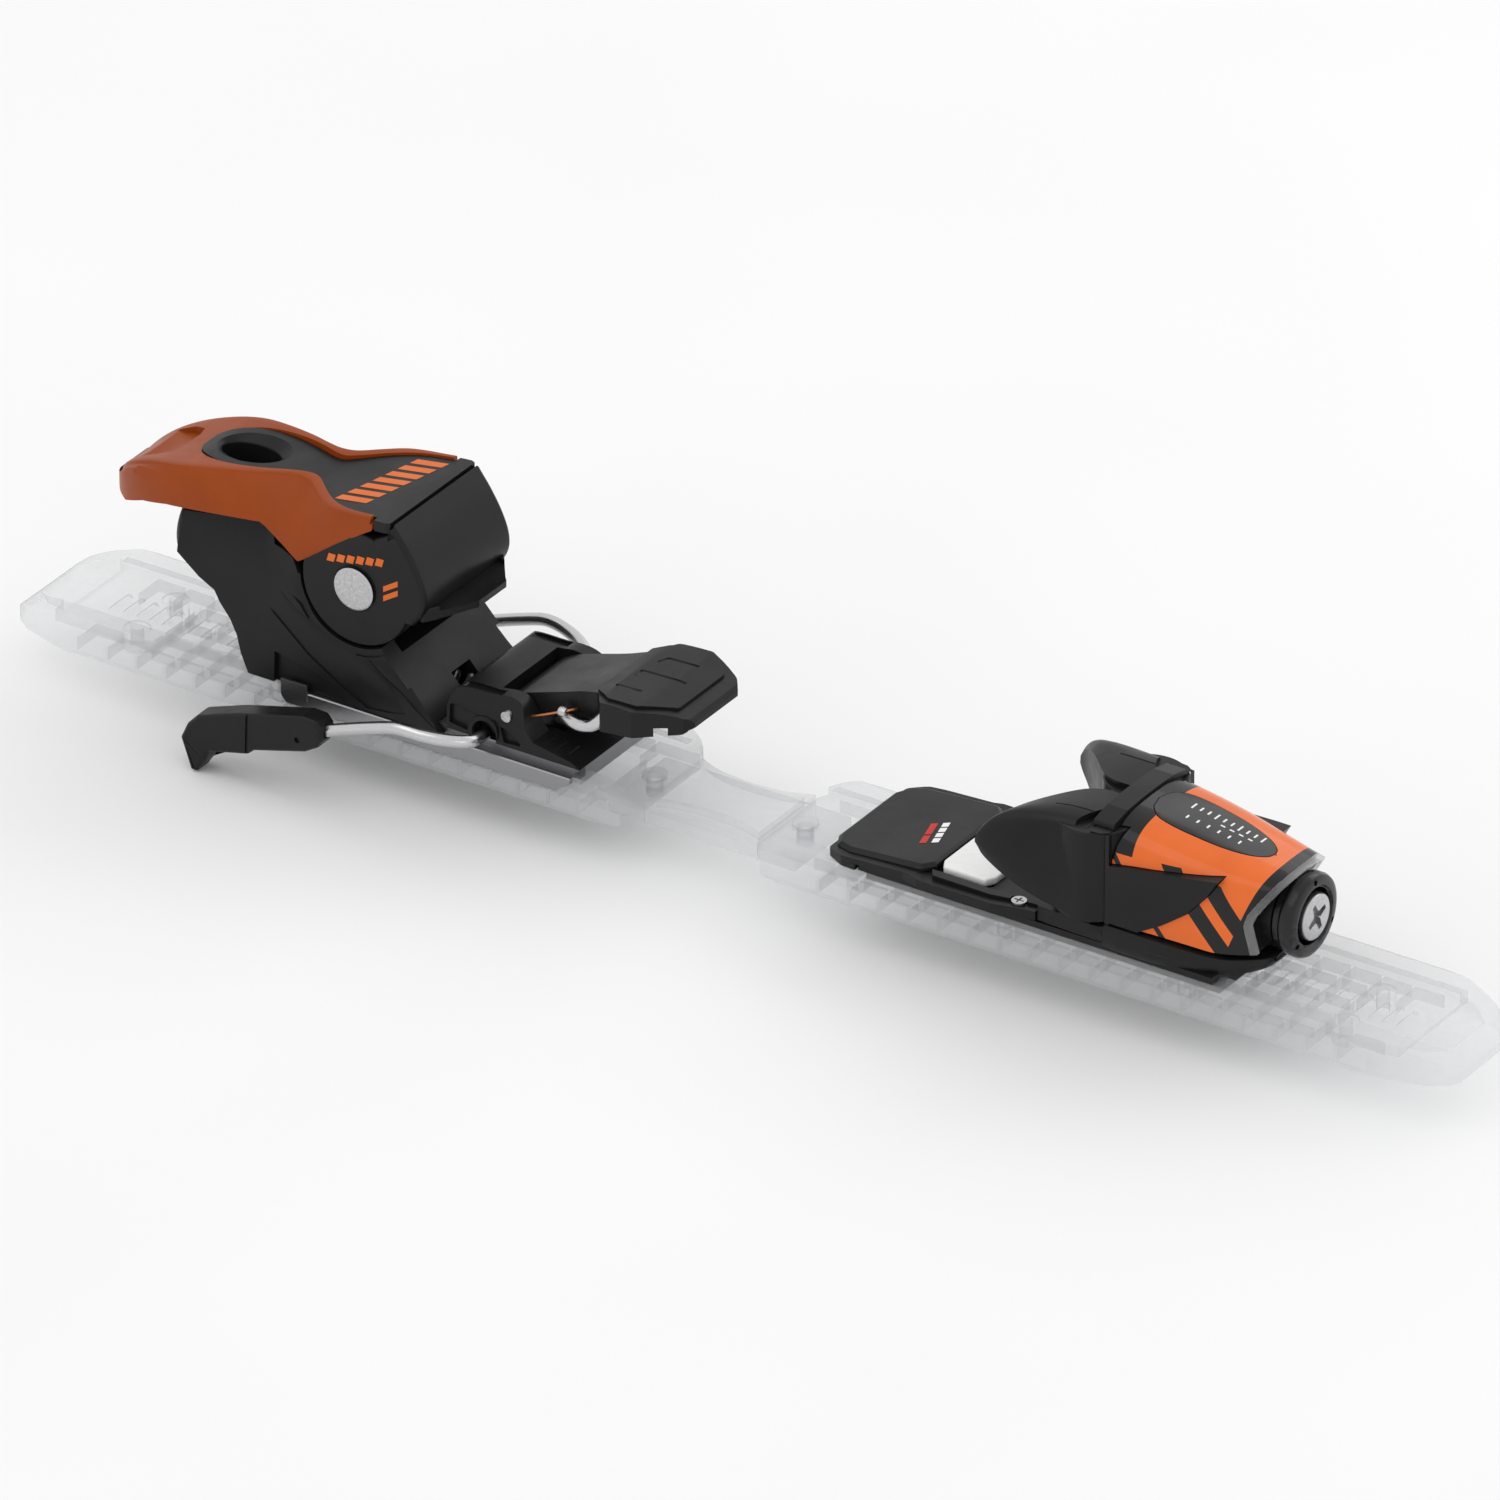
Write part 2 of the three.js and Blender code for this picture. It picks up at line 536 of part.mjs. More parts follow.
function solePlate() {
  const plan = mirrored([
    [50.4, 22], [52, 27], [60, 31], [66, 31.4], [90, 31.4], [95, 33], [128, 33.4], [140, 31],
    [146, 30],
  ]);
  const side = [
    [50.4, 17], [52, 20.8], [70, 23.6], [93, 25.2], [96, 23.4], [146, 24.2], [146, 19.8],
    [66.4, 19.8], [66.4, 17],
  ];
  let plate = sideSlab(side, -34, 34).intersect(planSlab(plan, 16, 30));
  plate = plate.subtract(box(PAD.x0, PAD.x1, -PAD.half, PAD.half, PAD.floor, 30));
  const { x, headR, shankR } = SOLE_SCREW;
  for (const y of both(SOLE_SCREW.y)) {
    plate = plate.subtract(rodZ(headR + GAP, 22, 30, x, y, 20));
    plate = plate.subtract(rodZ(shankR + GAP, 15, 30, x, y, 16));
  }
  return plate;
}
function slidePad() {
  const plan = mirrored([[98.2, 19], [101, 22.8], [119, 22.8], [121.8, 19]]);
  return planSlab(plan, PAD.floor + 0.3, 25.4);
}
function soleScrew(y) {
  const { x, headR, shankR, seat } = SOLE_SCREW;
  const top = seat + 2;
  const [long, thin] = [2, 0.4]; // half sizes of the cross recess
  return rodZ(headR, seat, top, x, y, 20)
    .add(rodZ(shankR, 19.9, seat + 0.2, x, y, 12))
    .subtract(box(x - long, x + long, y - thin, y + thin, top - 0.8, top + 1))
    .subtract(box(x - thin, x + thin, y - long, y + long, top - 0.8, top + 1));
}

function toeHousing() {
  const { x, y, r, bore } = WING_PIN;
  const side = [
    [146.4, 19.8], [175.4, 19.8], [175.4, 27.9], [196, 27.9], [214, 26.6], [240, 26.6], [240.4, 52],
    [226, 56], [184, 66], [172, 69], [172, 26], [146.4, 26],
  ];
  const plan = mirrored([
    [146.4, 29], [171.4, 30], [196, 30], [216, 25], [236, 18], [240.4, 16],
  ]);
  const roof = crossSlab(mirrorY([[32, 19], [32, 54], [22, 64], [12, 71]]), 140, 245);
  let housing = sideSlab(side, -30, 30).intersect(planSlab(plan, 15, 75)).intersect(roof);
  // ahead of the wings the core stays inside the hood; a neck joins it to the rear
  const [rearEnd, hoodEnd] = [177.8, 179];
  const core = housing.intersect(hood(HOOD_SKIN + 0.6));
  const neck = housing.intersect(box(rearEnd - 0.8, hoodEnd, -6, 6, 28, 66));
  housing = housing.intersect(box(140, rearEnd, -40, 40, 0, 90)).add(neck).add(core);
  for (const s of [-1, 1]) {
    housing = housing.subtract(box(171, rearEnd + 0.1, ...span(s * 24, s * 40), 26.2, 90));
    housing = housing.subtract(rodZ(r + 0.8, 26.2, 66.2, x, s * y, 48)); // the wing swings here
    housing = housing.add(rodZ(6, 25, 27.2, x, s * y, 20));
    housing = housing.subtract(rodZ(bore, 19, 80, x, s * y, 20));
  }
  return housing.subtract(rodX(TOE_AXIS.bore + GAP, 182, 250, 0, TOE_AXIS.z, 32));
}

function toeWing(s) {
  const { x, y, r, bore } = WING_PIN;
  const onSide = (points) => points.map(([a, b]) => [a, s * b]);
  const plan = [
    [124, 37.4], [128, 38.6], [136, 38], [150, 35.4], [164, 33.3], [x + 2, 30], [x + 2, 4], [156, 3],
    [150, 8], [143, 17], [136, 25.4], [129, 31.6], [125, 34.6],
  ];
  const side = [
    [123, 51], [125, 55.6], [132, 62.4], [150, 66.8], [162, 68.2], [163, 65.6], [169, 65.6],
    [169, 27.8], [158, 28.4], [150, 33.4], [140, 38.4], [131, 44], [124, 47.6],
  ];
  const shoulder = [[s * 2, 66.4], [s * 20, 68.8], [s * 39, 56], [s * 39, 20], [s * 2, 20]];
  // undercut lip that rides on the boot toe lug
  const lip = [[120, 36], [134, 33], [146, 24], [152, 12], [152, 0], [120, 0]];
  const knuckle = rodZ(r, 27.8, 65.8, x, s * y, 40);
  return planSlab(onSide(plan), 20, 75)
    .intersect(sideSlab(side, -40, 40))
    .intersect(crossSlab(shoulder, 120, 185))
    .add(knuckle)
    .subtract(planSlab(onSide(lip), 20, 43.6))
    .subtract(rodZ(bore, 19, 80, x, s * y, 20));
}
const wingPin = (s) => {
  const { x, y } = WING_PIN;
  return rodZ(3, 20, 69, x, s * y, 20).add(rodZ(4.6, 68.9, 70.4, x, s * y, 24));
};

// A stack of same-sized rings joined into one closed skin.
function loft(rings) {
  const n = rings[0].length;
  const positions = rings.flat(2);
  const index = [];
  for (let k = 0; k < rings.length - 1; k++)
    for (let i = 0; i < n; i++) {
      const j = (i + 1) % n;
      const [a, b, c, d] = [k * n + i, k * n + j, (k + 1) * n + j, (k + 1) * n + i];
      index.push(a, b, c, a, c, d);
    }
  const last = (rings.length - 1) * n;
  for (let i = 1; i < n - 1; i++) {
    index.push(0, i + 1, i);
    index.push(last, last + i, last + i + 1);
  }
  const g = new THREE.BufferGeometry();
  g.setAttribute("position", new THREE.Float32BufferAttribute(positions, 3));
  g.setIndex(index);
  return solid(g);
}

// Cross-section of the hood at station x: half width w, crown height t, hem height b.
function hoodRing(x, w, t, b) {
  const shoulder = t - 0.28 * (t - b);
  const points = [
    [w, b], [w, shoulder], [w * 0.8, t - 0.1 * (t - b)], [w * 0.45, t], [-w * 0.45, t],
    [-w * 0.8, t - 0.1 * (t - b)], [-w, shoulder], [-w, b],
  ];
  return points.map(([y, z]) => [x, y, z]);
}
const HOOD_STATIONS = [
  [178, 28.4, 69.6, 28.6], [200, 27.4, 66.4, 28.4], [222, 24.6, 62.6, 27], [243, 20, 59.6, 31],
];
// An inset hood also runs on below the hem, so that it can hollow the outer one.
function hood(inset) {
  const rings = HOOD_STATIONS.map(([x, w, t, b]) =>
    hoodRing(x, w - inset, t - inset, inset ? b - 20 : b));
  return loft(rings);
}
function toeCover() {
  const front = [[236, 20], [231, 42], [244, 60], [260, 60], [260, 20]];
  let cover = hood(0)
    .subtract(hood(HOOD_SKIN))
    .subtract(sideSlab(front, -40, 40))
    .subtract(planSlab(ellipse(LENS.x, LENS.rx, LENS.ry), 58, 75));
  const { x, y, r } = WING_PIN;
  for (const s of [-1, 1]) cover = cover.subtract(rodZ(r + 1, 20, 66.6, x, s * y, 48));
  return cover;
}
function toeWindow() {
  const band = [[184, 67.3], [233, 58.9], [233, 60.7], [184, 69.1]];
  const lens = planSlab(ellipse(LENS.x, LENS.rx - 0.5, LENS.ry - 0.5), 55, 75);
  return sideSlab(band, -12, 12).intersect(lens);
}
function toeCollar() {
  const { z, bore } = TOE_AXIS;
  const ring = rodX(16.8, 244.6, 249.6, 0, z, 40).add(rodX(15.6, 240.8, 250.6, 0, z, 40));
  return ring.subtract(rodX(bore, 240, 252, 0, z, 32));
}
function toeDinScrew() {
  const { z } = TOE_AXIS;
  const head = rodX(9.4, 246.4, 251.4, 0, z, 36).add(rodX(4.5, 214, 247, 0, z, 20));
  const [long, thin] = [6.5, 0.9]; // half sizes of the cross recess
  return head
    .subtract(box(249.4, 252, -long, long, z - thin, z + thin))
    .subtract(box(249.4, 252, -thin, thin, z - long, z + long));
}
function toePiston() {
  const { z, bore } = TOE_AXIS;
  return rodX(bore - 0.5, 184.4, 190.4, 0, z, 28);
}
const toeIndicator = () => springNut(226, TOE_AXIS.z, TOE_AXIS.bore, 5.2);

// ---- the assembly ----
add("rail_heel_plate", railPlate(RAIL.rear, RAIL.heelFront, [-290, -66]), CLEAR);
add("rail_toe_plate", railPlate(RAIL.front, RAIL.toeRear, [44, 290]), CLEAR);
add("rail_link", railLink(), CLEAR);
add("link_pin_heel", linkPin(RAIL.heelFront - RAIL.pinInset), CLEAR);
add("link_pin_toe", linkPin(RAIL.toeRear + RAIL.pinInset), CLEAR);

add("heel_carriage", heelCarriage(), STEEL);
add("heel_latch", latch(LATCH.heel), BLACK);
add("pressure_spring", coilX(-154, -124, 21.6, 4.2, 0.8, 5), SPRING);

add("heel_tower", heelTower(), BLACK);
add("heel_pivot_pin", heelPivotPin(), STEEL);
add("heel_pivot_cap", heelPinCap(), STEEL);
add("heel_din_screw", heelDinScrew(), BLACK);
add("heel_spring_nut", springNut(BARREL.rear + 12, BARREL.z, BARREL.bore, 5.2), BLACK);
add("heel_spring", coilX(BARREL.rear + 19, BARREL.front - 11.5, BARREL.z, 8.8, 1.6, 5), SPRING);
add("heel_piston", heelPiston(), STEEL);

add("lever_frame", leverFrame(), ORANGE);
add("lever_insert", leverInsert(), BLACK);
add("heel_cup", heelCup(), BLACK);
add("heel_treadle", heelTreadle(), BLACK);

add("brake_base", brakeBase(), BLACK);
add("pedal_pin", pedalPin(), STEEL);
add("brake_pedal", brakePedal(), BLACK);
add("pedal_pad", pedalPad(), BLACK);
add("pedal_loop", pedalLoop(), STEEL);
for (const [side, s] of SIDES) {
  add("brake_arm_" + side, brakeArm(s), STEEL);
  add("brake_foot_" + side, brakeFoot(s), BLACK);
}

add("toe_base", toeBase(), BLACK);
add("toe_latch", latch(LATCH.toe), BLACK);
add("sole_plate", solePlate(), BLACK);
add("afd_pad", slidePad(), WHITE);
add("toe_housing", toeHousing(), BLACK);
add("toe_cover", toeCover(), BRIGHT);
add("toe_window", toeWindow(), CLEAR);
add("toe_collar", toeCollar(), BLACK);
add("toe_din_screw", toeDinScrew(), STEEL);
add("toe_indicator", toeIndicator(), WHITE);
add("toe_spring", coilX(196.5, 223.6, TOE_AXIS.z, 8, 1.5, 4), SPRING);
add("toe_piston", toePiston(), STEEL);
for (const [side, s] of SIDES) {
  add("toe_wing_" + side, toeWing(s), BLACK);
  add("wing_pin_" + side, wingPin(s), STEEL);
  add("sole_screw_" + side, soleScrew(s * SOLE_SCREW.y), STEEL);
}

export default binding;
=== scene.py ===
# Looks of an alpine rail binding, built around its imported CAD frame. Lengths in the tables are in mm.
import json
import math

import bmesh
import bpy
from mathutils import Matrix, Vector


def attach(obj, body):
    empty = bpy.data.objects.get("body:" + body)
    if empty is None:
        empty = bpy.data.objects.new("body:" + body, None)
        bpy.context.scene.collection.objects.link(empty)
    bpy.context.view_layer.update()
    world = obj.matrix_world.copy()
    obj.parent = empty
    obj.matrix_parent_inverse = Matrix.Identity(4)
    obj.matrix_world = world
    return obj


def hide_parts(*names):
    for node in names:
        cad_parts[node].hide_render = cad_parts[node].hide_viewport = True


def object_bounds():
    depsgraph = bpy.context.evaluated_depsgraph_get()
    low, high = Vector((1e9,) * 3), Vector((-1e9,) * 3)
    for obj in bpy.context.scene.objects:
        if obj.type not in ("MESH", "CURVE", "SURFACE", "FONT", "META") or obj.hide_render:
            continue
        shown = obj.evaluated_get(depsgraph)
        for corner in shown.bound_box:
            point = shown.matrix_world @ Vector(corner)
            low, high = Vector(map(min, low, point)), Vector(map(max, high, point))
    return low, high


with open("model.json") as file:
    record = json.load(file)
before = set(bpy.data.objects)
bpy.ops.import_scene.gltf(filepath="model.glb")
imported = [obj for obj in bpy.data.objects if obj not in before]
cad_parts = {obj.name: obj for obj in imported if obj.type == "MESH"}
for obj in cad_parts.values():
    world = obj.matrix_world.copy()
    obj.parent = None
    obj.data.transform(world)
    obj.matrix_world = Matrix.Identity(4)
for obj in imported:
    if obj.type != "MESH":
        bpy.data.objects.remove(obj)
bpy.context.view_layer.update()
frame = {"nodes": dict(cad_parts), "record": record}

MM = 0.001
nodes = frame["nodes"]


# ---------------------------------------------------------------- solids, in mm
def make(verts, faces):
    mesh = bpy.data.meshes.new("solid")
    mesh.from_pydata([Vector(v) for v in verts], [], faces)
    mesh.update()
    ob = bpy.data.objects.new("solid", mesh)
    bpy.context.scene.collection.objects.link(ob)
    return outward(ob)


def outward(ob):
    bm = bmesh.new()
    bm.from_mesh(ob.data)
    bmesh.ops.remove_doubles(bm, verts=bm.verts, dist=1e-4)
    bmesh.ops.recalc_face_normals(bm, faces=bm.faces)
    if bm.calc_volume(signed=True) < 0:
        bmesh.ops.reverse_faces(bm, faces=bm.faces)
    bm.to_mesh(ob.data)
    bm.free()
    return ob


def prism(points, at, a, b):
    n = len(points)
    verts = [at(p, a) for p in points] + [at(p, b) for p in points]
    faces = [list(range(n)), list(range(2 * n - 1, n - 1, -1))]
    faces += [[i, n + i, n + (i + 1) % n, (i + 1) % n] for i in range(n)]
    return make(verts, faces)


def side(points, y0, y1):
    """An X-Z outline pulled along Y."""
    return prism(points, lambda p, t: (p[0], t, p[1]), y0, y1)


def plan(points, z0, z1):
    """An X-Y outline pulled along Z."""
    return prism(points, lambda p, t: (p[0], p[1], t), z0, z1)


def cross(points, x0, x1):
    """A Y-Z outline pulled along X."""
    return prism(points, lambda p, t: (t, p[0], p[1]), x0, x1)


def block(x0, x1, y0, y1, z0, z1):
    return plan([(x0, y0), (x1, y0), (x1, y1), (x0, y1)], z0, z1)


def circle(cx, cy, r, n=64, ry=None):
    ry = r if ry is None else ry
    return [
        (cx + r * math.cos(2 * math.pi * i / n), cy + ry * math.sin(2 * math.pi * i / n))
        for i in range(n)
    ]


def rod(axis, r, a, b, u, v, n=64):
    """A round bar along an axis; u, v are the other two coordinates in x, y, z order."""
    pull = {"x": cross, "y": side, "z": plan}[axis]
    return pull(circle(u, v, r, n), a, b)


def loft(rings):
    n = len(rings[0])
    verts = [p for ring in rings for p in ring]
    faces = [list(range(n - 1, -1, -1)), [len(verts) - n + i for i in range(n)]]
    for k in range(len(rings) - 1):
        for i in range(n):
            j = (i + 1) % n
            faces.append([k * n + i, k * n + j, (k + 1) * n + j, (k + 1) * n + i])
    return make(verts, faces)


def combine(a, b, how):
    mod = a.modifiers.new("b", "BOOLEAN")
    mod.operation, mod.object, mod.solver = how, b, "MANIFOLD"
    graph = bpy.context.evaluated_depsgraph_get()
    mesh = bpy.data.meshes.new_from_object(a.evaluated_get(graph))
    a.modifiers.clear()
    a.data = mesh
    bpy.data.objects.remove(b)
    return a


def cut(a, *others):
    for b in others:
        a = combine(a, b, "DIFFERENCE")
    return a


def join(a, *others):
    for b in others:
        a = combine(a, b, "UNION")
    return a


def keep(a, *others):
    for b in others:
        a = combine(a, b, "INTERSECT")
    return a


def mirrored(points):
    return list(points) + [(a, -b) for a, b in reversed(points)]


def span(s, a, b):
    """A range across the width, on the side given by the sign s."""
    return sorted((s * a, s * b))


def smooth(points, n=6):
    """Catmull-Rom points through the given ones, in 2-D or 3-D."""
    pts = [Vector(p) for p in points]
    out = []
    for i in range(len(pts) - 1):
        p1, p2 = pts[i], pts[i + 1]
        p0 = pts[i - 1] if i else p1 * 2 - p2
        p3 = pts[i + 2] if i + 2 < len(pts) else p2 * 2 - p1
        for k in range(n):
            t = k / n
            out.append(
                0.5
                * (2 * p1 + (p2 - p0) * t + (2 * p0 - 5 * p1 + 4 * p2 - p3) * t * t
                   + (3 * p1 - p0 - 3 * p2 + p3) * t**3)
            )
    out.append(pts[-1])
    return [tuple(p) for p in out]


def rounded(points, r, n=4):
    """The outline with each corner rounded; r is one radius or one for each corner."""
    count = len(points)
    radii = r if hasattr(r, "__len__") else [r] * count
    out = []
    for i, rad in enumerate(radii):
        p = Vector(points[i])
        a, b = Vector(points[i - 1]) - p, Vector(points[(i + 1) % count]) - p
        if rad <= 0 or a.length < 1e-6 or b.length < 1e-6:
            out.append(tuple(p))
            continue
        half = a.angle(b) / 2
        if half > math.radians(86):
            out.append(tuple(p))
            continue
        d = min(rad / math.tan(half), 0.48 * a.length, 0.48 * b.length)
        s, e = p + a.normalized() * d, p + b.normalized() * d
        for k in range(n + 1):
            t = k / n
            out.append(tuple(s * (1 - t) ** 2 + p * 2 * t * (1 - t) + e * t * t))
    return out


def tube(path, r, n=20):
    """A round bar of radius r along 3-D points; r may be a list, one for each point."""
    pts = [Vector(p) for p in path]
    radii = r if hasattr(r, "__len__") else [r] * len(pts)
    rings = []
    up = None
    for i, p in enumerate(pts):
        d = (pts[min(i + 1, len(pts) - 1)] - pts[max(i - 1, 0)]).normalized()
        if up is None:
            up = d.orthogonal().normalized()
        up = (up - d * up.dot(d)).normalized()
        w = d.cross(up)
        rings.append([
            tuple(p + (up * math.cos(2 * math.pi * k / n) + w * math.sin(2 * math.pi * k / n)) * radii[i])
            for k in range(n)
        ])
    return loft(rings)


def turned(profile, axis, u, v, n=64):
    """A profile of (position along the axis, radius), turned about the axis through u, v."""
    rings = []
    for a, r in profile:
        ring = []
        for k in range(n):
            c, s = math.cos(2 * math.pi * k / n), math.sin(2 * math.pi * k / n)
            p, q = u + max(r, 0.02) * c, v + max(r, 0.02) * s
            ring.append({"x": (a, p, q), "y": (p, a, q), "z": (p, q, a)}[axis])
        rings.append(ring)
    return loft(rings)


def offset(points, d):
    """The closed outline moved inwards by d."""
    n = len(points)
    after = points[1:] + points[:1]
    turn = sum(p[0] * q[1] - q[0] * p[1] for p, q in zip(points, after))
    sign = 1 if turn > 0 else -1
    out = []
    for i in range(n):
        p, a, b = Vector(points[i]), Vector(points[i - 1]), Vector(points[(i + 1) % n])
        e, f = (p - a), (b - p)
        if e.length < 1e-6 or f.length < 1e-6:
            out.append(None)
            continue
        e, f = e.normalized(), f.normalized()
        m = (Vector((-e.y, e.x)) + Vector((-f.y, f.x))) * sign
        if m.length < 1e-3:
            out.append(tuple(p))
            continue
        m = m.normalized()
        reach = d / max(0.45, m.dot(Vector((-e.y, e.x)) * sign))
        out.append(tuple(p + m * reach))
    return [q if q is not None else points[i] for i, q in enumerate(out)]


def pillow(points, at, a, b, r, steps=3):
    """An outline pulled from a to b, with both end edges rounded by r."""
    turns = [math.radians(90 * k / steps) for k in range(steps + 1)]
    ends = [(r * (1 - math.cos(t)), r * (1 - math.sin(t))) for t in turns]
    rings = [[at(p, a + along) for p in offset(points, inset)] for along, inset in ends]
    rings += [[at(p, b - along) for p in offset(points, inset)] for along, inset in reversed(ends)]
    return loft(rings)


# ---------------------------------------------------------------- materials
def shader(name):
    mat = bpy.data.materials.new(name)
    mat.use_nodes = True
    tree = mat.node_tree
    return mat, tree, tree.nodes["Principled BSDF"]


def node(tree, kind, **inputs):
    made = tree.nodes.new(kind)
    for key, value in inputs.items():
        made.inputs[key.replace("_", " ")].default_value = value
    return made


def noise(tree, scale, detail=3.0, rough=0.5, stretch=None):
    coords = tree.nodes.new("ShaderNodeTexCoord")
    made = node(tree, "ShaderNodeTexNoise", Scale=scale, Detail=detail, Roughness=rough)
    if stretch:
        mapping = tree.nodes.new("ShaderNodeMapping")
        mapping.inputs["Scale"].default_value = stretch
        tree.links.new(coords.outputs["Object"], mapping.inputs["Vector"])
        tree.links.new(mapping.outputs["Vector"], made.inputs["Vector"])
    else:
        tree.links.new(coords.outputs["Object"], made.inputs["Vector"])
    return made.outputs["Fac"]


def ramp(tree, source, stops):
    made = tree.nodes.new("ShaderNodeValToRGB")
    while len(made.color_ramp.elements) < len(stops):
        made.color_ramp.elements.new(0.5)
    for element, (at, colour) in zip(made.color_ramp.elements, stops):
        element.position = at
        element.color = (*colour, 1) if hasattr(colour, "__len__") else (colour, colour, colour, 1)
    tree.links.new(source, made.inputs["Fac"])
    return made.outputs["Color"]


def vary(tree, bsdf, socket, source, *stops):
    tree.links.new(ramp(tree, source, stops), bsdf.inputs[socket])


def bump(tree, bsdf, source, strength, distance):
    made = node(tree, "ShaderNodeBump", Strength=strength, Distance=distance)
    tree.links.new(source, made.inputs["Height"])
    tree.links.new(made.outputs["Normal"], bsdf.inputs["Normal"])


def plastic(name, dark, light, rough, grain=0.25, coat=0.0, gloss=0.22):
    """Moulded plastic: cloudy colour, a fine sparked grain and patches of handling gloss."""
    mat, tree, bsdf = shader(name)
    cloud = noise(tree, 38, 4)
    vary(tree, bsdf, "Base Color", cloud, (0.3, dark), (0.75, light))
    vary(tree, bsdf, "Roughness", noise(tree, 70, 5, 0.6), (0.3, rough - 0.07), (0.75, rough + 0.08))
    bump(tree, bsdf, noise(tree, 2600, 2, 0.6), grain, 0.00006)
    bsdf.inputs["Coat Weight"].default_value = coat
    bsdf.inputs["Coat Roughness"].default_value = 0.08
    bsdf.inputs["Specular IOR Level"].default_value = gloss
    return mat


def steel(name, tint, rough, stretch, streak=0.5):
    """Brushed steel, with its brushing along the long side of the stretched noise."""
    mat, tree, bsdf = shader(name)
    lines = noise(tree, 900, 3, 0.6, stretch)
    vary(tree, bsdf, "Base Color", lines, (0.3, [c * (1 - 0.35 * streak) for c in tint]), (0.7, tint))
    vary(tree, bsdf, "Roughness", lines, (0.25, rough + 0.12), (0.8, rough))
    bsdf.inputs["Metallic"].default_value = 1.0
    bump(tree, bsdf, lines, 0.12 * streak, 0.00005)
    return mat


def see_through(tree, bsdf, facing, stops, tint):
    """Lets what lies behind show, less so where the surface is seen edge on."""
    clear = node(tree, "ShaderNodeBsdfTransparent", Color=(*tint, 1))
    mix = tree.nodes.new("ShaderNodeMixShader")
    tree.links.new(ramp(tree, facing, stops), mix.inputs[0])
    tree.links.new(clear.outputs[0], mix.inputs[1])
    tree.links.new(bsdf.outputs[0], mix.inputs[2])
    tree.links.new(mix.outputs[0], tree.nodes["Material Output"].inputs["Surface"])


def ghost(name):
    """Frosted clear plastic: each skin veils a little, and more where it is seen edge on, where its
    colour is also painted darker as painted shade.
    """
    mat, tree, bsdf = shader(name)
    vary(tree, bsdf, "Roughness", noise(tree, 160, 3), (0.3, 0.22), (0.7, 0.34))
    bump(tree, bsdf, noise(tree, 900, 2), 0.08, 0.00005)
    facing = node(tree, "ShaderNodeLayerWeight", Blend=0.35).outputs["Facing"]
    # Painted shade: the veil colour goes from light grey face on to dark grey edge on, standing in for
    # the dark edges that light gives a clear skin.
    vary(tree, bsdf, "Base Color", facing,
         (0.0, (0.84, 0.85, 0.86)), (0.45, (0.70, 0.71, 0.72)), (0.9, (0.34, 0.35, 0.36)))
    see_through(tree, bsdf, facing, [(0.0, 0.12), (0.5, 0.24), (0.85, 0.62), (1.0, 0.9)],
        (0.965, 0.967, 0.97))
    return mat


def printed(name):
    """The printed hood: orange crossed by dark slanted bands, under a clear glossy skin."""
    mat, tree, bsdf = shader(name)
    coords = tree.nodes.new("ShaderNodeTexCoord")
    split = tree.nodes.new("ShaderNodeSeparateXYZ")
    tree.links.new(coords.outputs["Object"], split.inputs[0])

    def math_node(op, a, b=None):
        made = tree.nodes.new("ShaderNodeMath")
        made.operation = op
        for i, v in enumerate((a, b)):
            if v is None:
                continue
            if isinstance(v, (int, float)):
                made.inputs[i].default_value = v
            else:
                tree.links.new(v, made.inputs[i])
        return made.outputs[0]

    def both(a, b):
        return math_node("MULTIPLY", a, b)

    def either(a, b):
        return math_node("MAXIMUM", a, b)

    def above(a, b):
        return math_node("GREATER_THAN", a, b)

    def below(a, b):
        return math_node("LESS_THAN", a, b)

    def band(value, lo, hi):
        return both(above(value, lo), below(value, hi))

    x, y, z = (both(split.outputs[i], 1000.0) for i in range(3))
    side_y = math_node("ABSOLUTE", y)

    def past(cx, cz, x0, z0):
        """How far a point lies past a slanted line, in mm."""
        along, up = math_node("SUBTRACT", x, x0), math_node("SUBTRACT", z, z0)
        return math_node("ADD", both(along, cx), both(up, cz))

    slant = past(0.80, 0.60, 196, 40)
    dark = band(slant, -4.6, -2.4)
    dark = either(dark, both(band(slant, 13, 19.5), below(z, 58.5)))
    dark = either(dark, both(band(slant, 24, 30.5), below(z, 55)))
    dark = either(dark, above(past(0.93, -0.36, 233.5, 46), -0.5))
    dark = either(dark, both(below(x, 186.5), above(z, 58)))
    dark = both(dark, above(side_y, 0.01))
    orange = ramp(tree, noise(tree, 60, 4), [(0.3, (0.70, 0.125, 0.016)), (0.75, (0.78, 0.15, 0.022))])
    mix = tree.nodes.new("ShaderNodeMix")
    mix.data_type = "RGBA"
    tree.links.new(dark, mix.inputs["Factor"])
    tree.links.new(orange, mix.inputs["A"])
    mix.inputs["B"].default_value = (0.006, 0.006, 0.006, 1)
    tree.links.new(mix.outputs["Result"], bsdf.inputs["Base Color"])
    tree.links.new(ramp(tree, noise(tree, 90, 4), [(0.3, 0.16), (0.75, 0.24)]), bsdf.inputs["Roughness"])
    bump(tree, bsdf, noise(tree, 220, 2), 0.05, 0.0001)
    bsdf.inputs["Specular IOR Level"].default_value = 0.15
    bsdf.inputs["Coat Weight"].default_value = 0.35
    bsdf.inputs["Coat Roughness"].default_value = 0.04
    return mat


def clear_gloss(name, tint, low, high):
    """A clear glossy moulding that shows what is under it."""
    mat, tree, bsdf = shader(name)
    vary(tree, bsdf, "Base Color", noise(tree, 80, 3), (0.3, tint),
        (0.7, [min(1, c * 1.15) for c in tint]))
    vary(tree, bsdf, "Roughness", noise(tree, 120, 3), (0.3, 0.06), (0.7, 0.12))
    facing = node(tree, "ShaderNodeLayerWeight", Blend=0.4).outputs["Facing"]
    see_through(tree, bsdf, facing, [(0.0, low), (0.7, (low + high) / 2), (1.0, high)],
        (0.93, 0.93, 0.93))
    return mat


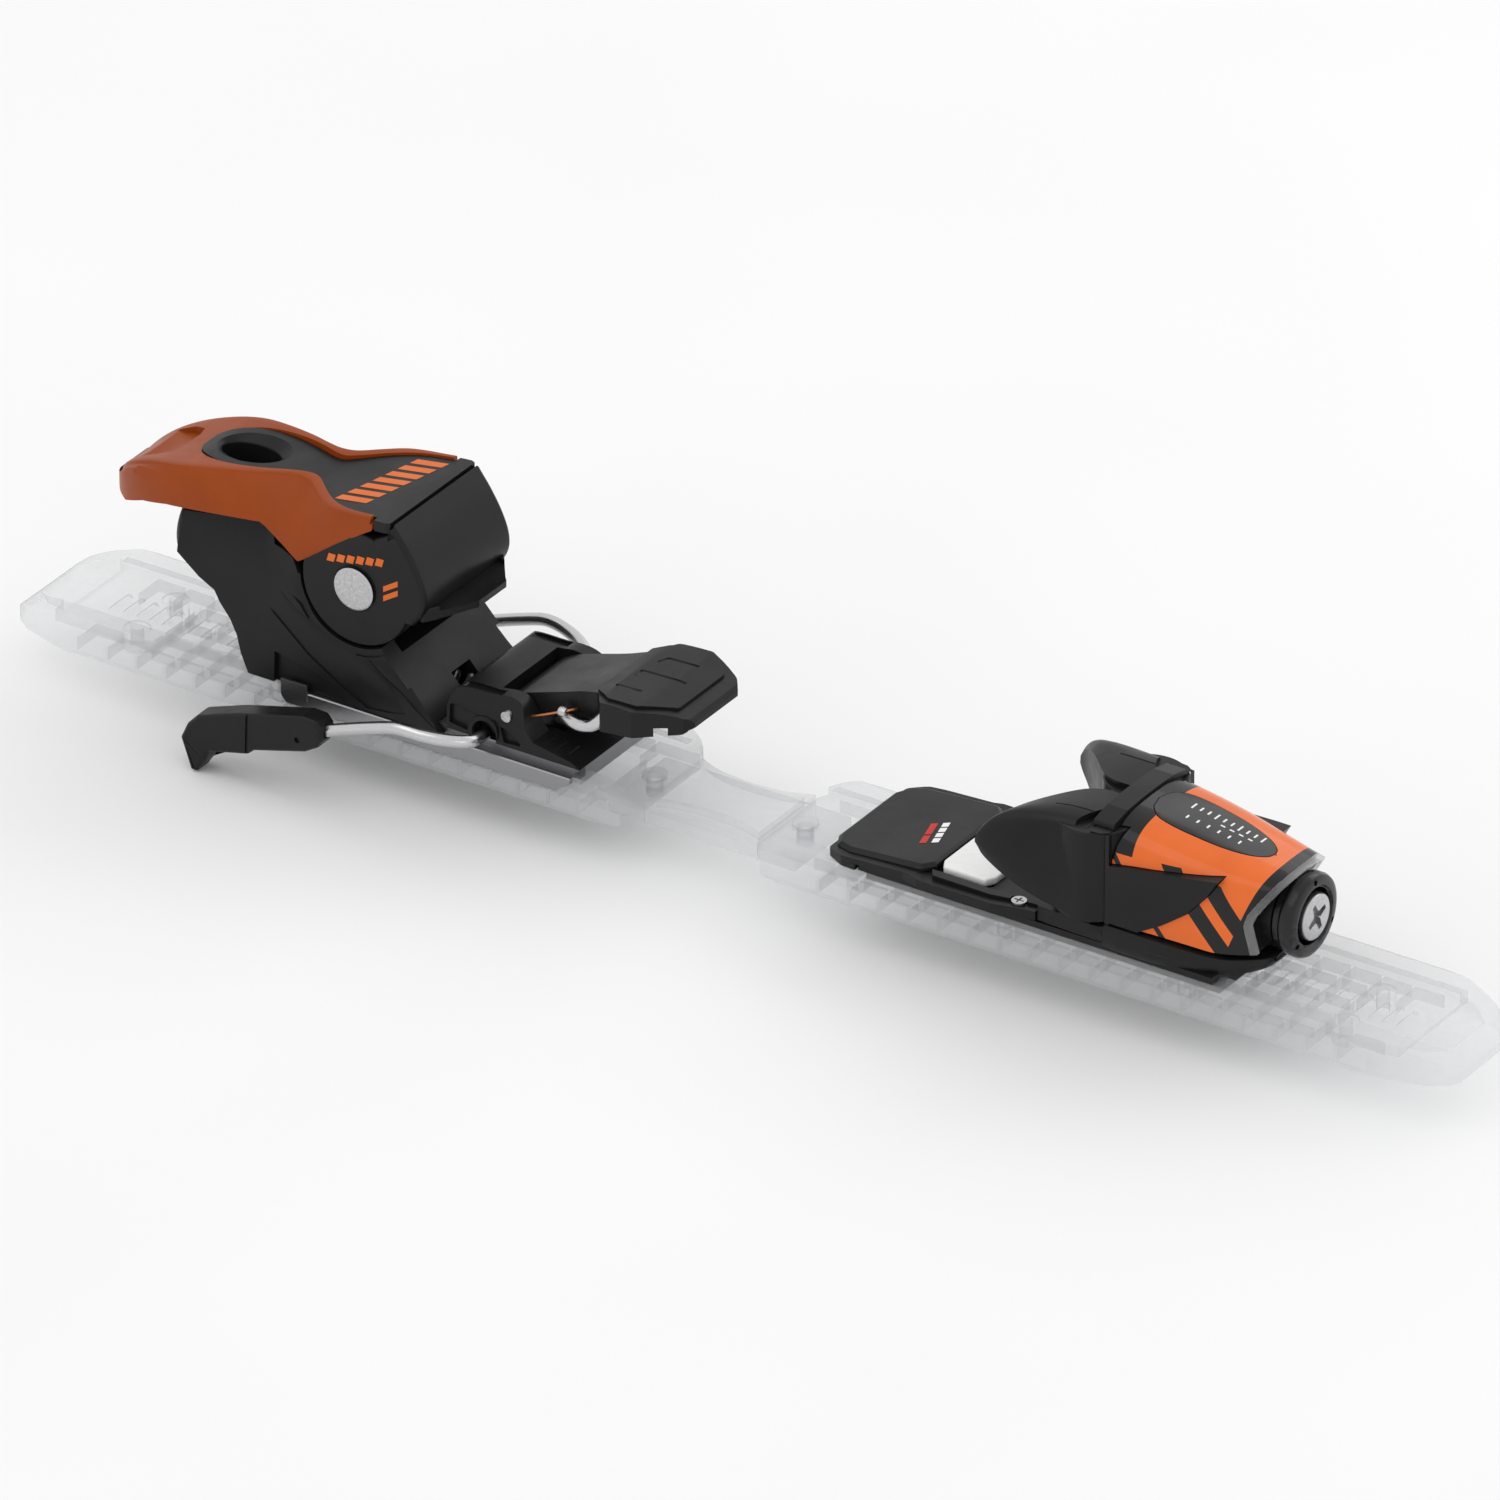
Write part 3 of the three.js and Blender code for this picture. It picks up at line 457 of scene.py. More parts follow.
PRINT = printed("printed_hood")
CLEAR_GLOSS = clear_gloss("clear_lip", (0.55, 0.55, 0.56), 0.10, 0.7)
LENS = plastic("smoked_lens", (0.006, 0.006, 0.0065), (0.011, 0.011, 0.0115), 0.14, 0.05, 0.25, 0.2)
STEEL_PLATE = steel("rolled_steel", (0.33, 0.33, 0.34), 0.26, (1, 14, 14), 0.5)
ORANGE_INK = plastic("orange_ink", (0.62, 0.13, 0.02), (0.72, 0.16, 0.028), 0.4, 0.1)
RED_INK = plastic("red_ink", (0.45, 0.02, 0.015), (0.55, 0.03, 0.02), 0.4, 0.1)
COPPER = steel("copper_wire", (0.62, 0.22, 0.10), 0.3, (1, 1, 1), 0.4)
STEEL_TURNED = steel("turned_steel", (0.60, 0.60, 0.61), 0.26, (10, 1, 1), 0.6)
BLACK = plastic("black_satin", (0.0065, 0.0065, 0.0068), (0.0100, 0.0100, 0.0104), 0.38)
BLACK_GLOSS = plastic("black_gloss", (0.0055, 0.0055, 0.006), (0.0085, 0.0085, 0.009), 0.24, 0.12, 0.25)
ORANGE = plastic("orange_satin", (0.255, 0.044, 0.005), (0.30, 0.055, 0.007), 0.36, 0.2, 0.0, 0.14)
WHITE = plastic("white_slide", (0.80, 0.80, 0.79), (0.90, 0.90, 0.89), 0.3, 0.15)
STEEL = steel("brushed_steel", (0.62, 0.62, 0.63), 0.3, (1, 12, 1), 0.9)
WIRE = steel("drawn_wire", (0.60, 0.60, 0.61), 0.16, (0.2, 3, 3), 0.3)
SPRING = steel("spring_wire", (0.42, 0.42, 0.44), 0.28, (1, 1, 1), 0.4)
GHOST = ghost("frosted_clear")

BY_SLOT = {
    "black_plastic": BLACK, "orange_plastic": ORANGE, "printed_cover": ORANGE, "clear_rail": GHOST,
    "window": BLACK_GLOSS, "steel": STEEL, "spring_steel": SPRING, "white_slide": WHITE,
}


def dress(ob, material, width=0.0, segments=2, angle=28):
    """Gives a piece its material, softened edges and even shading."""
    ob.data.materials.clear()
    ob.data.materials.append(material)
    for poly in ob.data.polygons:
        poly.use_smooth = True
    if width:
        mod = ob.modifiers.new("edges", "BEVEL")
        mod.width, mod.segments = width * MM, segments
        mod.limit_method, mod.angle_limit = "ANGLE", math.radians(angle)
        mod.harden_normals = True
        mod.use_clamp_overlap = True
        even = ob.modifiers.new("even", "WEIGHTED_NORMAL")
        even.keep_sharp = True
    return ob


def piece(name, ob, material, body, replaces=True, width=0.5, segments=2, angle=28, smooth_at=35):
    """Turns a solid in mm into a piece of the model.

    It replaces the CAD node of its own name, or the one named in replaces, or none if that is False.
    """
    ob.data.transform(Matrix.Scale(MM, 4))
    ob.name = ob.data.name = "visual_" + name
    dress(ob, material, width, segments, angle)
    if not width:
        ob.data.set_sharp_from_angle(angle=math.radians(smooth_at))
    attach(ob, body)
    if replaces:
        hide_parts(name if replaces is True else replaces)
    return ob


# ---------------------------------------------------------------- rail
PITCH = 13.5  # between two ribs
SLOT, GROOVE = 20.5, 24.5  # half widths of the guide slot and of its undercut


def rail_plate(name, tip, joint, teeth):
    """A guide plate: rims over an undercut slot, a ribbed underside and a rack of teeth."""
    way = 1 if tip > joint else -1

    def at(d):
        return tip - way * d

    half = [(30, 0), (30, 14.6), (28.8, 16), (21.2, 16), (SLOT, 15.4), (SLOT, 13), (GROOVE, 13),
        (GROOVE, 8)]
    section = half + [(-a, b) for a, b in reversed(half)]
    body = cross(section, min(at(20), joint), max(at(20), joint))
    nose = cross([(-30, 0), (30, 0), (30, 14.6), (28.8, 16), (-28.8, 16), (-30, 14.6)],
                 min(tip, at(22)), max(tip, at(22)))
    outline = mirrored([(joint, 20.4), (joint + way * 2, 24.2), (joint + way * 5, 27.2),
        (joint + way * 9, 29.2), (joint + way * 14, 30),
                        (at(31), 30), (at(24), 29), (at(9), 24.5), (at(2), 19.5), (tip, 16)])
    slope = [(at(0), 0), (at(0), 4), (at(2.5), 7), (at(6), 9.6), (at(14), 12.6), (at(24), 15),
        (at(33), 16),
             (joint + way * 24, 16), (joint + way * 14, 15.2), (joint + way * 6, 12.8), (joint,
                 10.4), (joint, 0)]
    body = keep(join(body, nose), plan(outline, -1, 17), side(slope, -31, 31))
    a, b = sorted((at(34), joint))
    body = cut(body, block(a, b, -27.5, 27.5, -1, 5.5))
    # stepped hollow behind the nose
    a, b = sorted((at(7), at(31)))
    body = cut(body, plan(mirrored([(a, 12), (a + 6, 17), (b, 21)]) if way < 0 else mirrored([(a, 21),
        (b - 6, 17), (b, 12)]), 9.6, 20))
    ribs = []
    d = 34 + PITCH
    while at(d) * way > joint * way + 20:
        ribs.append(block(at(d) - 0.8, at(d) + 0.8, -27.6, 27.6, 0, 5.6))
        d += PITCH
    a, b = sorted((at(60), joint + way * 39))
    for y in (-18.5, -6.5, 6.5, 18.5):
        ribs.append(block(a, b, y - 0.7, y + 0.7, 0.6, 5.6))
    a, b = sorted((at(30), at(60)))
    ribs.append(block(a, b, -14, 14, 0, 5.6))
    a, b = sorted((joint + way * 21, joint + way * 39))
    ribs.append(block(a, b, -14, 14, 0, 5.6))
    for dist in (52, 120, 200):
        for y in (-13, 13):
            ribs.append(rod("z", 5.2, 0, 5.7, at(dist), y, 28))
            ribs.append(rod("z", 5.2, 7.9, 9.2, at(dist), y, 28))
    x = teeth[0]
    while x <= teeth[1]:
        ribs.append(side([(x - 0.4, 7.8), (x + 0.5, 9.5), (x + 1.9, 9.5), (x + 2.8, 7.8)], -6, 6))
        x += 6
    body = join(body, *ribs)
    holes = [rod("z", 2.6, -1, 12, at(dist), y, 24) for dist in (52, 120, 200) for y in (-13, 13)]
    holes.append(rod("z", 3.4, -1, 12, joint + way * 8, 0, 28))
    body = cut(body, *holes)
    return piece(name, body, GHOST, "rail", width=0.35, angle=35)


rail_plate("rail_heel_plate", -324.5, -36, (-290, -66))
rail_plate("rail_toe_plate", 324.5, 16, (44, 290))


def rail_link():
    a, b = -36.4, 16.4
    edge = smooth([(b - 0.8, 20), (b - 4, 18.4), (b - 9, 16.4), (b - 15, 15), ((a + b) / 2, 14.2),
                   (a + 15, 15), (a + 9, 16.4), (a + 4, 18.4), (a + 0.8, 20)], 5)
    waist = plan(mirrored(edge), 0, 9.6)
    inner = smooth([(b - 3, 15.6), (b - 8, 13.8), (b - 15, 12.2), ((a + b) / 2, 11.4),
                    (a + 15, 12.2), (a + 8, 13.8), (a + 3, 15.6)], 5)
    waist = cut(waist, plan(mirrored(inner), 5.6, 12))
    strap = block(a - 15.6, b + 15.6, -19.5, 19.5, 0, 5.1)
    link = join(strap, waist)
    link = cut(link, rod("z", 3.4, -1, 12, -44, 0, 28), rod("z", 3.4, -1, 12, 24, 0, 28))
    return piece("rail_link", link, GHOST, "rail", width=0.4, angle=35)


rail_link()

# ---------------------------------------------------------------- heel lever
LEVER_STATIONS = [  # x, lower half width, ridge half width, ridge z
    (-282, 9, 7, 71.5), (-280.6, 12, 9.5, 74.6), (-277, 15.6, 12.6, 79), (-270, 20, 16.2, 84),
    (-260, 24, 19.6, 88.6), (-248, 26.4, 22.6, 92), (-236, 27.2, 22.9, 94.6), (-224, 27.6, 20.9, 96.2),
    (-211, 27.9, 17.6, 97.6), (-202, 28.2, 14.6, 98.4), (-195, 28.6, 13.4, 98.6), (-189, 29, 15.4, 98.4),
    (-182, 29.3, 21.4, 98.3), (-175, 29.5, 26.4, 98.5), (-168, 29.5, 28.4, 99), (-158, 29.5, 29, 100),
    (-150, 29.5, 29.1, 101)]
LEVER_LOW_EDGE = [
    (-282, 71), (-279.4, 67.2), (-274, 66.2), (-262, 72.2), (-249, 75.8), (-205, 82.4), (-202.6, 81.6),
    (-194.5, 76.3), (-187, 71.1), (-184, 73), (-171, 82.4), (-161, 89.6), (-155, 93.6), (-152.4, 95.2),
    (-152, 98)]
INSERT_EDGE = [(-246.5, 5), (-243.5, 10), (-236, 14.4), (-226, 16), (-214, 14.8), (-204, 12.2),
    (-196, 9.6),
               (-190.5, 9.4), (-185, 13.6), (-178, 19.8), (-171, 24), (-163, 26.2), (-150.5, 27.2)]
INSERT_TOP = smooth([
    (-250, 91.6), (-240, 94), (-226, 95.1), (-211, 95.8), (-197, 96.3), (-184, 96.9), (-172, 97.6),
    (-160, 98.9), (-150, 99.9), (-144.2, 100.2)], 4)


def lever_rings(inset, floor):
    rings = []
    for x, low, ridge, z in smooth(LEVER_STATIONS, 4):
        low, ridge, z = low - inset, ridge - inset, z - inset
        half = [
            (low, floor), (low, 74.0), (low + 0.1, 82 if z > 84 else (74 + z) / 2),
            ((low + ridge) / 2 + 0.7, (84 + z) / 2 if z > 86 else z - 2),
            (ridge + 0.6, z - 1.4), (ridge + 0.05, z - 0.35), (ridge - 0.9, z), (ridge - 3.4, z - 0.1),
            (ridge * 0.45, z - 0.5)]
        ring = [(x, y, t) for y, t in half] + [(x, -y, t) for y, t in reversed(half)]
        rings.append(ring)
    return rings


def lever_frame():
    shell = loft(lever_rings(0, 60))
    low = [(-283, 110), (-283, 71)] + rounded(LEVER_LOW_EDGE, 1.2) + [(-152, 110)]
    shell = keep(shell, side(low, -31, 31))
    hollow = loft(lever_rings(3.2, 40))
    hollow = keep(hollow, block(-276, -140, -40, 40, 30, 110))
    shell = cut(shell, hollow)
    # pocket for the insert
    pocket = smooth(INSERT_EDGE, 3) + [(-140, 27.4)]
    shell = cut(shell, plan(mirrored(pocket), 84, 112))
    # finger scoop across the rear tab, between two ridges
    scoop = side(circle(-268.5, 113.5, 29.5, 96), -13, 13)
    scoop = keep(scoop, plan(mirrored([(-290, 9), (-276, 11.5), (-262, 13), (-256.5, 11), (-255, 6)]),
        70, 120))
    shell = cut(shell, scoop)
    return piece("lever_frame", shell, ORANGE, "heel_lever",
                 width=0.45, angle=33)


lever_frame()


def lever_insert():
    band = INSERT_TOP + [(-144.2, 95.9), (-152, 95.2), (-178, 92.6), (-197, 90.6), (-226, 90.2),
        (-246, 88.6)]
    plate = side(band, -30, 30)
    edge = [(x, y - 0.45) for x, y in smooth(INSERT_EDGE, 3)] + [
        (-151.7, 26.9), (-151.6, 29.3), (-146.4, 29.5), (-144.6, 28.6)]
    plate = keep(plate, plan(mirrored(edge), 80, 110))
    # dished recess round the pole hole
    mouth = [[(-227.5 + a * math.cos(t), b * math.sin(t),
        z) for t in [2 * math.pi * i / 48 for i in range(48)]]
             for a, b, z in [(18, 13.2, 96.6), (16.2, 11, 94.6), (13.2, 7.7, 92.6), (12.6, 7.2, 91.6),
                 (12.6, 7.2, 84)]]
    socket = plan([(-227.5 + 14.8 * math.cos(t),
        9.6 * math.sin(t)) for t in [2 * math.pi * i / 48 for i in range(48)]], 81.6, 92)
    plate = cut(join(plate, socket), loft(mouth))
    x, z = -160.1, 68.1
    for a, b in ((-17.6, -14), (14, 17.6)):
        ear = join(rod("y", 11, a, b, x, z, 40), side([(x - 10, z), (x + 9, z), (x + 6, 97),
            (x - 15, 96)], a, b))
        plate = join(plate, cut(ear, rod("y", 4.4, a - 1, b + 1, x, z, 32)))
    return piece("lever_insert", plate, BLACK, "heel_lever",
                 width=0.4, angle=33)


lever_insert()

# ---------------------------------------------------------------- heel cup
PIN_X, PIN_Z = -160.1, 68.1
AT_SIDE = lambda p, t: (p[0], t, p[1])
AT_PLAN = lambda p, t: (p[0], p[1], t)


def heel_cup():
    front = smooth([(-143.2, 99.6), (-140.6, 96.2), (-136.8, 91), (-132.6, 84), (-129.6, 77),
        (-128.6, 71.5),
                    (-129.2, 67), (-131.4, 62.6), (-135, 58.6)], 5)
    back = [(-141, 58), (-141, 66), (-150.1, 71), (-152.1, 91.5), (-146.4, 94.6), (-143.7, 96.4)]
    dome = pillow(front + back, AT_SIDE, -29.8, 29.8, 2.2, 4)
    inner = smooth([(-147, 96), (-141, 89.8), (-136, 82.4), (-133.2, 75.6), (-132.6, 70), (-133.6, 64),
        (-136.5, 60)], 4)
    dome = cut(dome, side(inner + [(-140, 50), (-180, 50), (-180, 98), (-150, 97.5)], -25.8, 25.8))
    for s in (-1, 1):
        face = [(22, 24.3), (28.9, 24.3), (29.5, 24.0), (29.8, 23.5), (29.8, 0.0)]
        disc = turned([(s * y, r) for y, r in face], "y", PIN_X, PIN_Z, 96)
        disc = cut(disc, side([(-192, 66.6), (-187, 70.6), (-171, 82.8), (-161, 90.1), (-154.4, 94.2),
            (-152.6, 98),
                               (-152, 112), (-200, 112)], min(21 * s, 31 * s), max(21 * s, 31 * s)))
        dome = join(dome, disc)
        # a turned groove round the pin
        dome = cut(dome, turned([(s * 29.4, 9.6), (s * 31, 9.6)], "y", PIN_X, PIN_Z, 64))
        dome = join(dome, turned([(s * 29.0, 9.25), (s * 29.75, 9.25)], "y", PIN_X, PIN_Z, 64))
    dome = cut(dome, rod("y", 4.4, -32, 32, PIN_X, PIN_Z, 40))
    return piece("heel_cup", dome, BLACK, "heel_cup", width=0.35, angle=33)


heel_cup()


def heel_treadle():
    outline = mirrored([(-142, 21.2), (-134.8, 21.2), (-134.8, 26), (-131, 28), (-125, 19.5),
        (-120, 12.5), (-117.5, 9.5)])
    lip = pillow(rounded(outline, 1.2, 3), AT_PLAN, 60.6, 66.8, 0.8, 3)
    lip = keep(lip, side([(-143, 61), (-143, 66.6), (-128, 66.6), (-117.4, 66.2), (-117.4, 63.4),
        (-124, 62), (-131, 60.8)], -30, 30))
    lip = cut(lip, side(smooth([(-136, 67.5), (-130, 65.2), (-123, 65.0), (-116, 66.4)],
        5) + [(-116, 70), (-136, 70)], -22, 22))
    return piece("heel_treadle", lip, BLACK, "heel_cup", width=0.5, angle=33)


heel_treadle()


def pin_face(name, s, node_name):
    profile = [(s * 22, 3.9), (s * 30.2, 3.9), (s * 30.3, 8.2), (s * 30.45, 8.6), (s * 31.0, 8.85),
        (s * 31.25, 8.5), (s * 31.3, 8.0), (s * 31.3, 0)]
    if s < 0:
        profile = [(29.4, 3.4), (29.0, 3.9)] + profile[1:]
    else:
        profile = [(29.8, 3.5), (30.2, 3.6), (30.3, 8.2)] + profile[3:]
    return piece(name, turned(profile, "y", PIN_X, PIN_Z, 72), STEEL, "heel_tower", node_name,
        width=0, smooth_at=40)


pin_face("pivot_pin", -1, "heel_pivot_pin")
pin_face("pivot_cap", 1, "heel_pivot_cap")
# ---------------------------------------------------------------- heel tower
def arc(cx, cz, r, a0, a1, n):
    return [(cx + r * math.cos(math.radians(a0 + (a1 - a0) * i / n)),
             cz + r * math.sin(math.radians(a0 + (a1 - a0) * i / n))) for i in range(n + 1)]


def carve(points, s, y_face):
    """A wedge cut into a side face: each point is (x, z, depth)."""
    n = len(points)
    top = [(x, s * (y_face + 3), z) for x, z, _ in points]
    bottom = [(x, s * (y_face - 1.7 * d), z) for x, z, d in points]
    faces = [list(range(n))] + [[i, n + i, n + (i + 1) % n, (i + 1) % n] for i in range(n)]
    middle = (sum(p[0] for p in bottom) / n, sum(p[1] for p in bottom) / n, sum(p[2] for p in bottom) / n)
    faces += [[n + i, 2 * n, n + (i + 1) % n] for i in range(n)]
    return make(top + bottom + [middle], faces)


LEAF_A = [(-212.3, 65.0, 0.1), (-199.9, 59.4, 0.8), (-186, 51.6, 1.6), (-174, 45.4, 1.8),
    (-162, 40.9, 1.8), (-154.2, 37.6, 1.6),
          (-147, 33, 1.4), (-141.6, 28.2, 1.0), (-136.8, 20.9, 0.2), (-144, 19.4, 0.3), (-154.2, 18.2,
              0.4), (-168.1, 25.2, 0.5),
          (-181.4, 33.4, 0.4), (-199.9, 49.2, 0.3), (-207.9, 56.4, 0.2)]
LEAF_B = [(-206.5, 65.6, 0.2), (-189.3, 67.6, 0.8), (-183.4, 66.2, 0.9), (-182.6, 60, 0.9),
    (-180.2, 53.6, 0.9), (-177.4, 49.6, 0.4),
          (-184, 53.6, 0.5), (-194.6, 60.4, 0.3)]
LEAF_C = [(-153.6, 39.8, 0.2), (-147.6, 38.8, 0.8), (-141.6, 36.3, 1.1), (-135, 31.9, 1.3),
    (-128.4, 26, 1.2), (-121.8, 18.4, 0.4),
          (-124.6, 19.2, 0.2), (-132.4, 24.4, 0.3), (-139, 30, 0.3), (-146.9, 34.4, 0.2)]


def heel_tower():
    rim = 25.3
    cheek = [(-121, 16.8), (-124, 20)] + arc(PIN_X, PIN_Z, rim, -62, -176, 44) + [
        (-189.6, 71.6), (-200.5, 72.4), (-203.6, 79.2), (-243, 73.6), (-243, 58), (-238, 54.8), (-232,
            51), (-224.6, 47.8),
        (-221, 43), (-217, 38), (-214, 32), (-212, 24), (-208.8, 16.8)]
    outer = side(cheek, -31, 31)
    rear = cross([(-31, 16), (31, 16), (31, 44), (27.5, 62), (21, 79), (16, 82), (-16, 82), (-21, 79),
        (-27.5, 62), (-31, 44)], -250, -205)
    blend = loft([[(x, y, z) for y, z in ring] for x, ring in [
        (-205.2, [(-31, 16), (31, 16), (31, 44), (27.5, 62), (21, 79), (16, 82), (-16, 82), (-21, 79),
            (-27.5, 62), (-31, 44)]),
        (-186, [(-31, 16), (31, 16), (31, 50), (30.6, 64), (29, 82), (24, 86), (-24, 86), (-29, 82),
            (-30.6, 64), (-31, 50)])]])
    ahead = block(-186.2, -110, -31, 31, 16, 100)
    tower = keep(outer, join(rear, blend, ahead))
    tower = cut(tower, block(-187, -140, -21.8, 21.8, 41.5, 110))
    for s in (-1, 1):
        a, b = span(s, 21.6, 31.5)
        tower = cut(tower, rod("y", 25.0, a, b, PIN_X, PIN_Z, 96))
        a, b = span(s, 21.6, 18)
        tower = join(tower, rod("y", 12, a, b, PIN_X, PIN_Z, 40), block(-171.1, -150.1, a, b, 36, PIN_Z))
    tower = cut(tower, rod("y", 4.4, -32, 32, PIN_X, PIN_Z, 40), block(-215, -100, -27.9, 27.9, 10, 20.4),
                block(-164, -100, -6.2, 6.2, 10, 29), rod("x", 12.4, -250, -180, 0, 56.2, 48))
    for s in (-1, 1):
        # a sunk band round the disc
        tower = cut(tower, rod("y", 28.3, *span(s, 30.3, 31.6), PIN_X, PIN_Z, 96))
        tower = cut(tower, carve(LEAF_A, s, 31), carve(LEAF_B, s, 31), carve(LEAF_C, s, 31))
        # the foot steps in behind the leg
        tower = cut(tower, carve([(-197, 16, 1.2), (-196.6, 30.2, 1.2), (-181.6, 27.4, 1.0),
            (-168, 22.6, 0.4), (-160, 16, 0.3)], s, 31))
    # rear edge rounding of the barrel
    tower = join(tower, cut(rod("x", 17.6, -243.4, -206, 0, 56.2, 72),
        rod("x", 12.4, -250, -180, 0, 56.2, 48)))
    return piece("heel_tower", tower, BLACK, "heel_tower", width=0.4, angle=30)


heel_tower()


def heel_din_screw():
    profile = [(-214.2, 4.5), (-243.0, 4.5), (-243.8, 4.6), (-244.6, 15.4), (-245.2, 16.6), (-246.2, 17),
        (-248.4, 17),
               (-250.4, 16.5), (-252, 15.4), (-252.8, 14), (-253.2, 12.6), (-252.6, 11.6), (-252.6, 0)]
    head = turned(profile, "x", 0, 56.2, 72)
    head = cut(head, block(-254, -250.6, -8.5, 8.5, 54.9, 57.5))
    for i in range(18):
        a = 2 * math.pi * i / 18
        head = cut(head, rod("x", 0.7, -249.5, -243, 17.3 * math.cos(a), 56.2 + 17.3 * math.sin(a), 10))
    return piece("heel_din_screw", head, BLACK, "heel_din_screw", width=0.3, angle=35)


heel_din_screw()

# ---------------------------------------------------------------- brake
ARM_Y, WIRE_R = 50.4, 2.5
for tag, s in (("right", -1), ("left", 1)):
    route = [(-170, ARM_Y, 12.2), (-166, ARM_Y, 13.6), (-158, ARM_Y, 16.7), (-150, ARM_Y, 19.7),
        (-142, ARM_Y, 22.6), (-133, ARM_Y, 25.6),
             (-128, ARM_Y, 26.9), (-123, ARM_Y - 0.3, 27.1), (-117, ARM_Y - 1.4, 26.5), (-110, ARM_Y - 4,
                 25.6), (-104, ARM_Y - 8, 24.7),
             (-101.4, 38.4, 23.9), (-101, 34, 23.6), (-101, 28.8, 23.6)]
    path = smooth([(x, s * y, z) for x, y, z in route[1:]], 9)
    piece("brake_arm_" + tag, tube(path, WIRE_R, 24), WIRE, "brake_arm_" + tag, width=0,
        smooth_at=50)

    foot = rounded([
        (-224, -4.4), (-221, 2.3), (-216.5, 7.1), (-198.4, 13.6), (-168, 21.7), (-161.8, 21.4), (-159.3,
            18.7),
        (-158.8, 13.6), (-161.2, 9.9), (-166.8, 6.5), (-190.4, -0.2), (-193.2, -2.6), (-196,
            -3.4), (-211, -7),
        (-212.8, -11.4), (-216.8, -17.4), (-219.4, -17.2)],
        [1, 3, 3, 3, 2, 1.5, 1.5, 1.5, 2, 2, 1, 0.8, 1, 1.5, 1, 1, 0.8], 3)
    a, b = span(s, 45.4, 55.4)
    pad = pillow(foot, AT_SIDE, a, b, 1.6, 3)
    # a moulded waist behind the socket, a small dimple and the socket mouth
    pad = cut(pad, side([(-194.2, -6), (-193.4, 16), (-192.4, 16), (-192.8, -6)], *span(s, 54.7, 57)))
    pad = cut(pad, rod("y", 1.2, *span(s, 54.4, 57), -170, 11, 16))
    bore = tube([(x, s * y, z) for x, y, z in [(-178, ARM_Y, 9.2), (-166, ARM_Y, 13.6),
        (-150, ARM_Y, 19.4)]], WIRE_R + 0.35, 20)
    pad = cut(pad, bore)
    piece("brake_foot_" + tag, pad, BLACK, "brake_arm_" + tag, width=0.3, angle=35)


def brake_base():
    profile = smooth([(-118.5, 30), (-117, 36), (-112, 38), (-100, 38.2), (-93, 39.2), (-87.4, 38),
        (-84.4, 33.5)], 3)
    outline = [(-118.5, 20.5)] + profile + [(-82.6, 30), (-79.6, 26), (-70, 24.2), (-62, 22.8),
        (-58.2, 20.5)]
    deck = side(outline, -30, 30)
    deck = keep(deck, cross([(-30, 20), (30, 20), (30, 30.6), (28.6, 33.4), (24, 40), (-24, 40),
        (-28.6, 33.4), (-30, 30.6)], -120, -57))
    deck = cut(deck, block(-100.5, -56, -18.6, 18.6, 26, 50), block(-112, -75, -15, 15, 15, 30))
    for s in (-1, 1):
        a, b = span(s, 24, 31)
        deck = cut(deck, rod("y", 5.4, a, b, -101, 23.6, 36))
        c, d = span(s, 28.4, 31.5)
        deck = cut(deck, side(rounded([(-117.4, 23.4), (-109, 22.2), (-108.4, 28.4), (-112.6, 32.2),
            (-117, 31.4)], 0.8, 3), c, d))
        deck = cut(deck, side(rounded([(-94.4, 28.6), (-88, 27), (-84.4, 22.6), (-92.6, 22)], 0.8, 3), c,
            d))
        collar = cut(rod("y", 7.4, *span(s, 28.5, 30.9), -101, 23.6, 48),
            rod("y", 5.5, *span(s, 27, 32), -101, 23.6, 36))
        collar = keep(collar, side(circle(-103.4, 25.4, 8.4, 40), -32, 32),
            block(-120, -57, -32, 32, 20.6, 40))
        deck = join(deck, collar)
        # a long shallow channel along the top of each side
        deck = cut(deck, side([(-116, 38.5), (-114, 36.9), (-99, 36.9), (-96, 39.5)],
            *span(s, 20.4, 24.6)))
    # ridges across the nose
    for x in (-76, -71, -66):
        ridge = [(x - 0.9, 22), (x - 0.6, 25.6 - (x + 76) * 0.14), (x + 0.6, 25.5 - (x + 76) * 0.14),
            (x + 0.9, 22)]
        deck = join(deck, side(ridge, 19, 26))
        deck = join(deck, side(ridge, -26, -19))
    deck = cut(deck, rod("y", 2.4, -31, 31, -92, 33, 28))
    return piece("brake_base", deck, BLACK, "heel_slider", width=0.45, angle=30)


brake_base()


